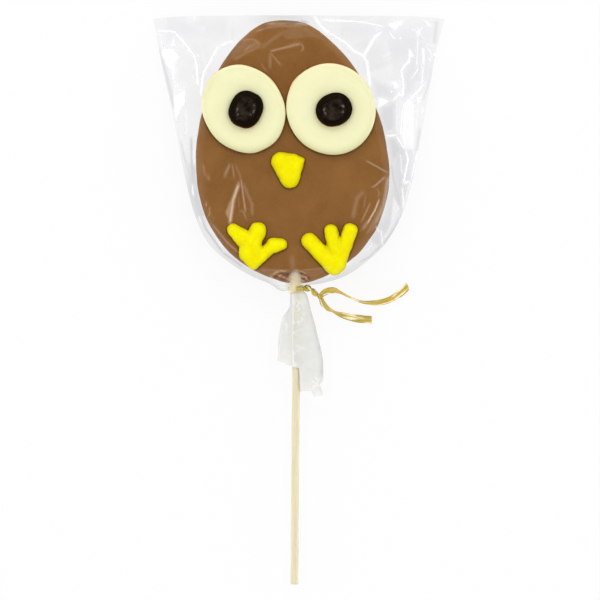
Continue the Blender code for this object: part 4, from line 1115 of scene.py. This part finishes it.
def ribbon_section(half_width, half_thickness, ridges, ridge_height, curl):
    """A flat, ridged cross-section: offsets across and through, and how deep each point lies in the hollows
    between ridges, which is its share of painted shade.
    """
    share = np.linspace(-1.0, 1.0, 8 * ridges + 1)
    ridge = 0.5 + 0.5 * np.cos(share * math.pi * ridges)
    edge = np.sqrt(np.clip(1.0 - share ** 8, 0.0, 1.0))
    bend = -curl * half_width * share ** 2
    upper = bend + half_thickness * edge * 0.6 + ridge_height * (ridge - 0.5) * edge
    lower = bend - half_thickness * edge * 0.6 + ridge_height * (ridge - 0.5) * edge
    across = np.concatenate([share, share[::-1][1:-1]]) * half_width
    through = np.concatenate([upper, lower[::-1][1:-1]])
    groove_shade = np.concatenate([1.0 - ridge, (1.0 - ridge)[::-1][1:-1]])
    return across, through, groove_shade


def add_strip(name, path, rolls, sections, material, slant=0.0):
    """A ribbon along a path. A roll of 0 lays its width level; slant shears its far end."""
    tangents = np.gradient(path, axis=0)
    tangents /= np.linalg.norm(tangents, axis=1, keepdims=True)
    rings, groove_shades = [], []
    for index, (point, tangent, roll) in enumerate(zip(path, tangents, rolls)):
        across, through, groove_shade = sections[index]
        side = np.cross((0.0, 0.0, 1.0), tangent)
        side /= np.linalg.norm(side)
        normal = np.cross(tangent, side)
        wide = math.cos(roll) * side + math.sin(roll) * normal
        thick = -math.sin(roll) * side + math.cos(roll) * normal
        ring = point + across[:, None] * wide + through[:, None] * thick
        ring = ring + slant * (index / (len(path) - 1)) ** 24 * across[:, None] * tangent
        rings.append(ring)
        groove_shades.append(groove_shade)
    piece = add_loft(name, rings, material, "tie")
    set_values(piece, "groove_shade", np.array(groove_shades))
    travelled = np.concatenate([[0.0], np.cumsum(np.linalg.norm(np.diff(path, axis=0), axis=1))])
    places = np.array([[(across / RIBBON_WIDTH + 0.5, distance) for across in section[0]]
                       for section, distance in zip(sections, travelled)]).reshape(-1, 2)
    store_strip_places(piece, places)


def store_strip_places(piece, places):
    """Keeps each point's place across and along the strip as a UV map."""
    mesh = piece.data
    corners = np.empty(len(mesh.loops), dtype=np.int32)
    mesh.loops.foreach_get("vertex_index", corners)
    layer = mesh.uv_layers.new(name="strip")
    layer.data.foreach_set("uv", places[corners].ravel())


def make_ribbon(name, knots, material, steps, slant, seed):
    """One free end of the ribbon, rolled so that its width seen from above is the one given."""
    line = curve_points(knots, np.linspace(0.0, 1.0, steps))
    seen = np.clip(line[:, 3] / RIBBON_WIDTH, 0.0, 1.0)
    count = len(line)
    breadth = 1.0 + 0.03 * ripple(line[:, :3], 7.0, seed)
    sections = [ribbon_section(0.5 * RIBBON_WIDTH * breadth[i], 0.5 * RIBBON_THICKNESS, RIBBON_RIDGES,
                               RIBBON_RIDGE_HEIGHT, RIBBON_CURL * (1.0 - seen[i])) for i in range(count)]
    add_strip(name, line[:, :3], np.arccos(seen), sections, material, slant)


def make_twist(name, phase, material):
    """One of the two strands twisted together between the neck and the free ends."""
    share = np.linspace(0.0, 1.0, 60)
    line = curve_points(TWIST_PATH, share)
    turn = phase + TWIST_TURNS * 2.0 * math.pi * share
    apart = TWIST_APART * (1.0 - 0.3 * share)
    line[:, 1] += apart * np.cos(turn)
    line[:, 2] += apart * np.sin(turn)
    sections = [ribbon_section(TWIST_HALF[0] * (1.0 - 0.25 * s), TWIST_HALF[1], 3, 0.08, 0.3) for s in share]
    add_strip(name, line, turn + 0.5 * math.pi, sections, material)


def make_ring(material):
    """The ribbon's turns round the neck."""
    turn = np.linspace(0.0, 2.0 * math.pi * RING_TURNS, 96 * RING_TURNS)
    y = RING_Y + RING_PITCH * (0.5 - turn / turn[-1])
    radius = RING_RADIUS + 0.06 * np.sin(3.0 * turn)
    across, through, groove_shade = ribbon_section(RING_HALF[0], RING_HALF[1], 3, 0.06, 0.0)
    rings = []
    for angle, station, reach in zip(turn, y, radius):
        spoke = np.array([math.cos(angle), 0.0, math.sin(angle)])
        centre = np.array([stick_x(station), station, STICK_HEIGHT]) + reach * spoke
        rings.append(centre + across[:, None] * np.array([0.0, 1.0, 0.0]) + through[:, None] * spoke)
    piece = add_loft("ribbon_ring", rings, material, "tie")
    set_values(piece, "groove_shade", np.tile(groove_shade, len(turn)))
    places = np.array([[(a / RIBBON_WIDTH + 0.5, RING_RADIUS * angle) for a in across] for angle in turn])
    store_strip_places(piece, places.reshape(-1, 2))


# The film

def crowded(count, crowding):
    """Fractions from 0 to 1 that lie closer together at both ends."""
    share = np.linspace(0.0, 1.0, count + 1)
    return share - crowding * np.sin(2.0 * math.pi * share) / (2.0 * math.pi)


def bag_plan(rows, columns):
    """The bag seen from above: a grid of points, from its sealed top down to its neck."""
    down = crowded(rows, FILM_ROW_CROWDING)
    across = crowded(columns, FILM_COLUMN_CROWDING)
    left = curve_points(BAG_LEFT_SIDE, down)
    right = curve_points(BAG_RIGHT_SIDE, down)
    plan = left[:, None, :] * (1.0 - across)[None, :, None] + right[:, None, :] * across[None, :, None]
    top_line = BAG_CORNER_DROP * (1.0 - (2.0 * across - 1.0) ** 8)
    plan[:, :, 1] += (1.0 - down)[:, None] ** 2 * top_line[None, :]
    hanging = np.exp(-((plan[:, :, 0] - FILM_DROOP_X) / FILM_DROOP_REACH) ** 2)
    plan[:, :, 1] -= FILM_DROOP * hanging * np.clip((13.0 - plan[:, :, 1]) / 6.0, 0.0, 1.0)
    return plan


def relax(height, plan, least, passes):
    """A taut skin with a fixed rim: each inner point goes to its neighbours' mean, or up to least."""
    inner = np.s_[1:-1, 1:-1]
    neighbours = (np.s_[:-2, 1:-1], np.s_[2:, 1:-1], np.s_[1:-1, :-2], np.s_[1:-1, 2:])
    weights = [1.0 / np.linalg.norm(plan[inner] - plan[beside], axis=2) for beside in neighbours]
    total = sum(weights)
    for _ in range(passes):
        mean = sum(weight * height[beside] for weight, beside in zip(weights, neighbours)) / total
        height[inner] = np.maximum(mean, least[inner])
    return height


def between(grid, rows, columns):
    """A grid read at other numbers of rows and columns."""
    tall = np.stack([np.interp(np.linspace(0.0, grid.shape[0] - 1.0, rows), np.arange(grid.shape[0]), column)
                     for column in grid.T], axis=1)
    return np.stack([np.interp(np.linspace(0.0, grid.shape[1] - 1.0, columns), np.arange(grid.shape[1]), row)
                     for row in tall])


def taut_skin(plan, rim, least):
    """The relaxed skin over the fine grid, worked out on coarser grids first."""
    height = rim[::16, ::16].copy()
    for step, passes in ((16, 400), (8, 240), (4, 160), (2, 120), (1, 90)):
        part, edge, floor = plan[::step, ::step], rim[::step, ::step], least[::step, ::step]
        height = between(height, *edge.shape)
        for side in (np.s_[0], np.s_[-1], np.s_[:, 0], np.s_[:, -1]):
            height[side] = edge[side]
        height = relax(height, part, floor, passes)
    return height


def fold_share(x, y, line, half_width):
    """1 along a fold's line, fading across it and towards its two ends."""
    lengths = [math.dist(a, b) for a, b in zip(line, line[1:])]
    total = sum(lengths)
    nearest = np.full(x.shape, np.inf)
    along = np.zeros(x.shape)
    travelled = 0.0
    for start, end, length in zip(line, line[1:], lengths):
        distance, share = segment_distance(x, y, start, end)
        closer = distance < nearest
        nearest = np.where(closer, distance, nearest)
        along = np.where(closer, (travelled + share * length) / total, along)
        travelled += length
    ends = np.clip(np.minimum(along, 1.0 - along) * total / min(2.0, 0.35 * total), 0.0, 1.0)
    return np.exp(-(nearest / half_width) ** 2) * (0.35 + 0.65 * ends * (2.0 - ends))


def patch_share(x, y, outline, edge):
    """1 inside an outline, fading to 0 across its edge."""
    inside = np.zeros(x.shape, dtype=bool)
    nearest = np.full(x.shape, np.inf)
    for start, end in zip(outline, outline[1:] + outline[:1]):
        crossed = (start[1] > y) != (end[1] > y)
        where = start[0] + (y - start[1]) * (end[0] - start[0]) / (end[1] - start[1] + 1e-9)
        inside ^= crossed & (x < where)
        nearest = np.minimum(nearest, segment_distance(x, y, start, end)[0])
    return np.clip(0.5 + np.where(inside, nearest, -nearest) / edge, 0.0, 1.0)


def loose_folds():
    """Small straight folds scattered over the two flaps, most of them running down the bag."""
    random = np.random.default_rng(LOOSE_FOLD_SEED)
    folds = []
    while len(folds) < LOOSE_FOLD_COUNT:
        x = random.uniform(-62.0, 62.0)
        y = random.uniform(22.0, 122.0)
        inset, _ = head_inset(np.array(x), np.array(y))
        if inset > -2.0:
            continue
        angle = math.radians(random.normal(86.0 if x > 0.0 else 96.0, 24.0))
        reach = 0.5 * random.uniform(3.0, 11.0)
        ends = ((x - reach * math.cos(angle), y - reach * math.sin(angle)),
                (x + reach * math.cos(angle), y + reach * math.sin(angle)))
        folds.append((random.uniform(0.4, 0.9), random.uniform(-0.25, 0.3), ends))
    return tuple(folds)


def lump_share(x, y):
    """How much each point belongs to the bunched film at the neck, from 0 to 1."""
    return np.max([np.exp(-np.hypot((x - place[0]) / half[0], (y - place[1]) / half[1]) ** 4)
                   for place, half in NECK_LUMPS], axis=0)


def film_folds(plan, inset):
    """What folds and facets do to the film: its rise, its painted highlights together with the gathered
    film's milkiness, its painted shade, and how creamy it is.
    """
    x, y = plan[:, :, 0], plan[:, :, 1]
    rise = uneven(plan, FILM_UNEVEN, SEEDS["film"])
    painted_highlight_and_milk = np.zeros(x.shape)
    painted_film_shade = np.zeros(x.shape)
    # Painted highlights and painted shade along folds and facets, each also raising or sinking the film.
    for half_width, tone, line in LEFT_FOLDS + RIGHT_FOLDS + FACE_FOLDS + loose_folds():
        share = fold_share(x, y, line, half_width)
        rise += math.copysign(FOLD_RISE * math.sqrt(abs(tone)), tone) * share
        painted_highlight_and_milk = np.maximum(painted_highlight_and_milk, tone * share)
        painted_film_shade = np.maximum(painted_film_shade, -tone * share)
    for tone, outline in LEFT_PATCHES + RIGHT_PATCHES + FACE_PATCHES:
        share = patch_share(x, y, outline, PATCH_EDGE if tone > 0.0 else DULL_PATCH_EDGE)
        rise += PATCH_RISE * tone * share
        painted_highlight_and_milk = np.maximum(painted_highlight_and_milk, tone * share)
        painted_film_shade = np.maximum(painted_film_shade, -tone * share)
    # Broad painted shade on the flaps beside the head.
    for half_width, tone, line in FLAP_SHADES:
        beside_head = np.clip(0.5 - inset, 0.0, 1.0)
        painted_film_shade = np.maximum(painted_film_shade, tone * fold_share(x, y, line, half_width) * beside_head)
    neck_x = stick_x(NECK_Y)
    reach = np.hypot(x - neck_x, y - NECK_Y)
    bearing = np.arctan2(x - neck_x, y - NECK_Y)
    pleats = np.cos(NECK_PLEATS * bearing * 2.0 + 1.3 * np.sin(3.0 * bearing))
    fading = np.exp(-(reach / NECK_PLEAT_REACH) ** 2) * np.clip(reach / 4.0, 0.0, 1.0)
    rise += NECK_PLEAT_HEIGHT * pleats * fading
    creamy = lump_share(x, y)
    # The film's own milkiness, where it is gathered at the neck, goes into the same share as the painted
    # highlights.
    painted_highlight_and_milk = np.maximum(painted_highlight_and_milk, NECK_MILK * np.exp(-(reach / NECK_MILK_REACH) ** 2))
    painted_highlight_and_milk = np.maximum(painted_highlight_and_milk, NECK_LUMP_MILK * creamy)
    return rise + NECK_LUMP_RISE * creamy, painted_highlight_and_milk, painted_film_shade * (1.0 - painted_highlight_and_milk), creamy


def rim_distance(shape):
    """Number of mesh lines from each point of a grid to its rim."""
    rows, columns = np.indices(shape)
    aside = np.minimum(columns, shape[1] - 1 - columns)
    return np.minimum(np.minimum(rows, shape[0] - 1 - rows), aside)


def film_heights(plan, rise, inset):
    """Heights of the bag's front and back sheets."""
    x, y = plan[:, :, 0], plan[:, :, 1]
    sink = np.exp(-np.clip(-inset - BAG_SIDE_START, 0.0, None) / BAG_SIDE_REACH)
    rim = BAG_SIDE_REST + (STICK_HEIGHT - BAG_SIDE_REST) * sink
    neck = np.sqrt(np.clip(NECK_RADIUS ** 2 - (plan[-1, :, 0] - stick_x(NECK_Y)) ** 2, 0.04, None))
    cover = contents_height(x, y, FILM_CLEARANCE)
    front = rim + FILM_GAP / 2.0
    front[-1] = STICK_HEIGHT + neck
    front = taut_skin(plan, front, cover)
    fade = np.clip(rim_distance(x.shape) / 10.0, 0.0, 1.0)
    front = np.maximum(front + fade * rise, np.where(cover > 0.0, cover - 0.1, 0.0))
    back = rim - FILM_GAP / 2.0
    back[-1] = STICK_HEIGHT - neck
    back = -taut_skin(plan, -back, np.where(cover > 0.0, -0.45, -99.0))
    back = np.clip(back + fade * uneven(plan, BACK_UNEVEN, SEEDS["back"]), 0.25, None)
    back = np.minimum(back, np.where(inset > 0.0, HEAD_BASE - 0.15, front - FILM_GAP))
    return front, back


def make_bag_sheets(material):
    """The bag's front and back sheets, from its sealed top to its neck.

    The front sheet is in two halves, which share the whole sheet's normals so that no seam shows.
    """
    plan = bag_plan(FILM_ROWS, FILM_COLUMNS)
    inset, _ = head_inset(plan[:, :, 0], plan[:, :, 1])
    rise, painted_highlight_and_milk, painted_film_shade, creamy = film_folds(plan, inset)
    front, back = film_heights(plan, rise, inset)
    points = np.dstack([plan, front])
    normals = np.cross(np.gradient(points, axis=0), np.gradient(points, axis=1))
    clinging = FILM_CLING * np.clip(inset / 1.5, 0.0, 1.0) * (1.0 - creamy)
    tones = {"painted_highlight_and_milk": painted_highlight_and_milk, "painted_film_shade": painted_film_shade, "clinging": clinging, "creamy": creamy}
    middle = FILM_COLUMNS // 2
    for name, half in (("film_front_left", np.s_[:, :middle + 1]), ("film_front_right", np.s_[:, middle:])):
        sheet = add_piece(name, points[half], grid_faces(*plan[half].shape[:2]), material, "bag")
        sheet.data.normals_split_custom_set_from_vertices(normals[half].reshape(-1, 3).tolist())
        for key, values in tones.items():
            set_values(sheet, key, values[half])
    coarse = plan[::FILM_BACK_STEP, ::FILM_BACK_STEP]
    turned = [face[::-1] for face in grid_faces(*coarse.shape[:2])]
    add_piece("film_back", np.dstack([coarse, back[::FILM_BACK_STEP, ::FILM_BACK_STEP]]), turned, material,
              "bag")


def make_neck_fold(material):
    """The bulge of milky film that hides the ribbon left of the stick."""
    tilt = np.linspace(0.02, 0.44 * math.pi, 28)[:, None]
    turn = full_turn(64)[None, :]
    rings = np.stack([NECK_FOLD[0] + NECK_FOLD_HALF[0] * np.sin(tilt) * np.cos(turn),
                      NECK_FOLD[1] + NECK_FOLD_HALF[1] * np.sin(tilt) * np.sin(turn),
                      NECK_FOLD[2] + NECK_FOLD_HALF[2] * np.cos(tilt) + 0.0 * turn], axis=2)
    rings += 0.14 * ripple(rings, 2.4, SEEDS["neck_fold"])[:, :, None] * np.array([1.0, 1.0, 0.6])
    fold = add_piece("film_neck_fold", rings, grid_faces(28, 64, around=True), material, "bag")
    thin = np.clip((np.degrees(tilt) - 25.0) / 50.0, 0.0, 1.0) + 0.0 * turn
    set_values(fold, "painted_highlight_and_milk", 0.78 * (1.0 - thin))
    set_values(fold, "clinging", 0.9 * np.ones(thin.shape))
    set_values(fold, "creamy", np.ones(thin.shape))


def tail_rings(rows, shrink):
    """Rings of the gathered tail round the stick, softly pleated, up to its slanting cut."""
    stations = np.array(TAIL_STATIONS)
    turns = full_turn(TAIL_SIDES)
    aside = np.cos(turns) * np.where(np.cos(turns) > 0.0, stations[-1, 2], stations[:, 1].max())
    cut = np.where(np.sin(turns) > 0.0, np.interp(aside, *np.array(TAIL_FRONT_CUT).T),
                   np.interp(aside, *np.array(TAIL_BACK_CUT).T))
    y = stations[0, 0] + (cut[None, :] - stations[0, 0]) * np.linspace(0.0, 1.0, rows)[:, None]
    left, right, half = (np.interp(-y, -stations[:, 0], stations[:, i]) - shrink for i in (1, 2, 3))
    opened = np.clip((stations[1, 0] - y) / 10.0, 0.0, 1.0)
    pleats = 1.0 - TAIL_PLEAT_DEPTH * opened * (0.5 + 0.5 * np.cos(
        TAIL_PLEATS * turns + 0.10 * y + 1.5 * np.sin(2.0 * turns)))
    rings = np.stack([stick_x(y) + np.where(np.cos(turns) > 0.0, right, left) * np.cos(turns) * pleats, y,
                      STICK_HEIGHT + half * (1.0 - TAIL_SAG * opened) * np.sin(turns) * pleats], axis=2)
    crushed = np.clip(uneven(rings, TAIL_UNEVEN, SEEDS["tail"]), -0.4, 0.2) - 0.1
    outward = np.stack([np.cos(turns), np.zeros(TAIL_SIDES), np.sin(turns)], axis=1)
    return rings + outward[None, :, :] * (crushed * opened)[:, :, None]


def make_tail(material):
    """The gathered tail of the bag, open at its mouth, with a second fold of film inside it."""
    inner = tail_rings(TAIL_ROWS // 2, TAIL_INNER_GAP)[TAIL_ROWS // 10:]
    outer = tail_rings(TAIL_ROWS, 0.0)
    for name, rings in (("film_tail", outer), ("film_tail_inner", inner)):
        faces = grid_faces(len(rings), TAIL_SIDES, around=True)
        sheet = add_piece(name, rings, faces, material, "bag")
        if rings is outer:
            x, y = rings[:, :, 0], rings[:, :, 1]
            in_front = np.clip(rings[:, :, 2] - STICK_HEIGHT + 0.8, 0.0, 1.0)
            # Painted highlights and painted shade along the creases on the tail's front.
            tones = [tone * fold_share(x, y, line, half_width) for half_width, tone, line in TAIL_FOLDS]
            set_values(sheet, "painted_highlight_and_milk", in_front * TAIL_FOLD_TONE * np.clip(np.max(tones, axis=0), 0.0, 1.0))
            set_values(sheet, "painted_film_shade", in_front * np.clip(-np.min(tones, axis=0), 0.0, 1.0))
            set_values(sheet, "creamy", in_front * lump_share(x, y))


# Studio

def make_camera():
    """Looks straight down, as the photograph does."""
    data = bpy.data.cameras.new("camera")
    data.lens = LENS
    data.sensor_width = SENSOR
    data.clip_end = 100.0
    camera = bpy.data.objects.new("camera", data)
    distance = VIEW_WIDTH * LENS / SENSOR
    camera.location = (VIEW_CENTRE[0] * MM, VIEW_CENTRE[1] * MM, (VIEW_HEIGHT + distance) * MM)
    bpy.context.scene.collection.objects.link(camera)
    bpy.context.scene.camera = camera


def make_floor():
    """A white sweep, lit from within so that it stays pale under the film."""
    mesh = bpy.data.meshes.new("floor")
    corners = [(x * FLOOR_HALF, y * FLOOR_HALF, 0.0) for x, y in ((-1, -1), (1, -1), (1, 1), (-1, 1))]
    mesh.from_pydata(corners, [], [(0, 1, 2, 3)])
    floor = bpy.data.objects.new("floor", mesh)
    bpy.context.scene.collection.objects.link(floor)
    g = new_material("paper_sweep")
    paper = g.node("ShaderNodeBsdfDiffuse", Color=(0.9, 0.9, 0.9, 1.0))
    glow = g.node("ShaderNodeEmission", Color=(1.0, 1.0, 1.0, 1.0), Strength=1.0)
    mesh.materials.append(g.finish(g.blend(FLOOR_GLOW, paper.outputs[0], glow.outputs[0])))


def softbox(name, bearing, off_zenith, radiance):
    """A lamp that faces the head, at this bearing from +X and this angle from overhead."""
    data = bpy.data.lights.new(name, "AREA")
    data.shape = "RECTANGLE"
    data.size, data.size_y = LAMP_SIZE
    data.energy = radiance * math.pi * LAMP_SIZE[0] * LAMP_SIZE[1]
    lamp = bpy.data.objects.new(name, data)
    tilt = math.radians(off_zenith)
    turn = math.radians(bearing)
    direction = Vector((math.sin(tilt) * math.cos(turn), math.sin(tilt) * math.sin(turn), math.cos(tilt)))
    target = Vector((HEAD_CENTRE[0] * MM, HEAD_CENTRE[1] * MM, 0.01))
    lamp.location = target + LAMP_DISTANCE * direction
    lamp.rotation_euler = direction.to_track_quat("Z", "Y").to_euler()
    bpy.context.scene.collection.objects.link(lamp)


def make_world():
    """A pale room: dim overhead, brighter towards the horizon, plain white where it is seen."""
    g = Graph(bpy.data.worlds.new("studio"))
    place = g.node("ShaderNodeTexCoord").outputs["Generated"]
    upward = g.node("ShaderNodeSeparateXYZ", Vector=place).outputs["Z"]
    room = g.node("ShaderNodeBackground", Strength=g.spread(upward, *ROOM_LEVELS))
    plain = g.node("ShaderNodeBackground", Strength=1.0, Color=(1.0, 1.0, 1.0, 1.0))
    seen = g.node("ShaderNodeLightPath").outputs["Is Camera Ray"]
    chosen = g.blend(seen, room.outputs[0], plain.outputs[0])
    bpy.context.scene.world = g.finish(chosen, "ShaderNodeOutputWorld")


def make_studio():
    make_camera()
    make_floor()
    make_world()
    for index, lamp in enumerate(LAMPS, 1):
        softbox(f"softbox_{index}", *lamp)
    scene = bpy.context.scene
    scene.view_settings.view_transform = "Standard"
    scene.view_settings.look = "None"
    scene.cycles.transparent_max_bounces = TRANSPARENT_BOUNCES


def make_contents():
    make_head(chocolate_material())
    ivory, dark, yellow = disc_material(), pupil_material(), icing_material()
    for side in ("left", "right"):
        make_disc(side, ivory)
        make_pupil(side, dark)
    make_icing("icing_beak", BEAK_STROKES, "beak", yellow)
    make_icing("icing_foot_left", LEFT_FOOT_STROKES, "foot_left", yellow)
    make_icing("icing_foot_right", RIGHT_FOOT_STROKES, "foot_right", yellow)
    make_stick(wood_material())


def make_tie():
    gold = ribbon_material()
    make_ring(gold)
    make_twist("ribbon_twist_front", TWIST_START, gold)
    make_twist("ribbon_twist_back", TWIST_START + math.pi, gold)
    make_ribbon("ribbon_upper", UPPER_RIBBON, gold, 190, 0.45, 101)
    make_ribbon("ribbon_lower", LOWER_RIBBON, gold, 130, -0.12, 102)


def make_film():
    clear = film_material("clear_film", (0.975, 0.975, 0.98, 1.0), (0.9, 0.9, 0.92, 1.0), 0.01, 0.008, 0.0)
    make_bag_sheets(clear)
    make_neck_fold(clear)
    gathered = film_material("gathered_film", (0.97, 0.97, 0.96, 1.0), (0.95, 0.95, 0.93, 1.0), 0.74, 0.05,
                             0.25)
    make_tail(gathered)


make_studio()
make_contents()
make_tie()
make_film()
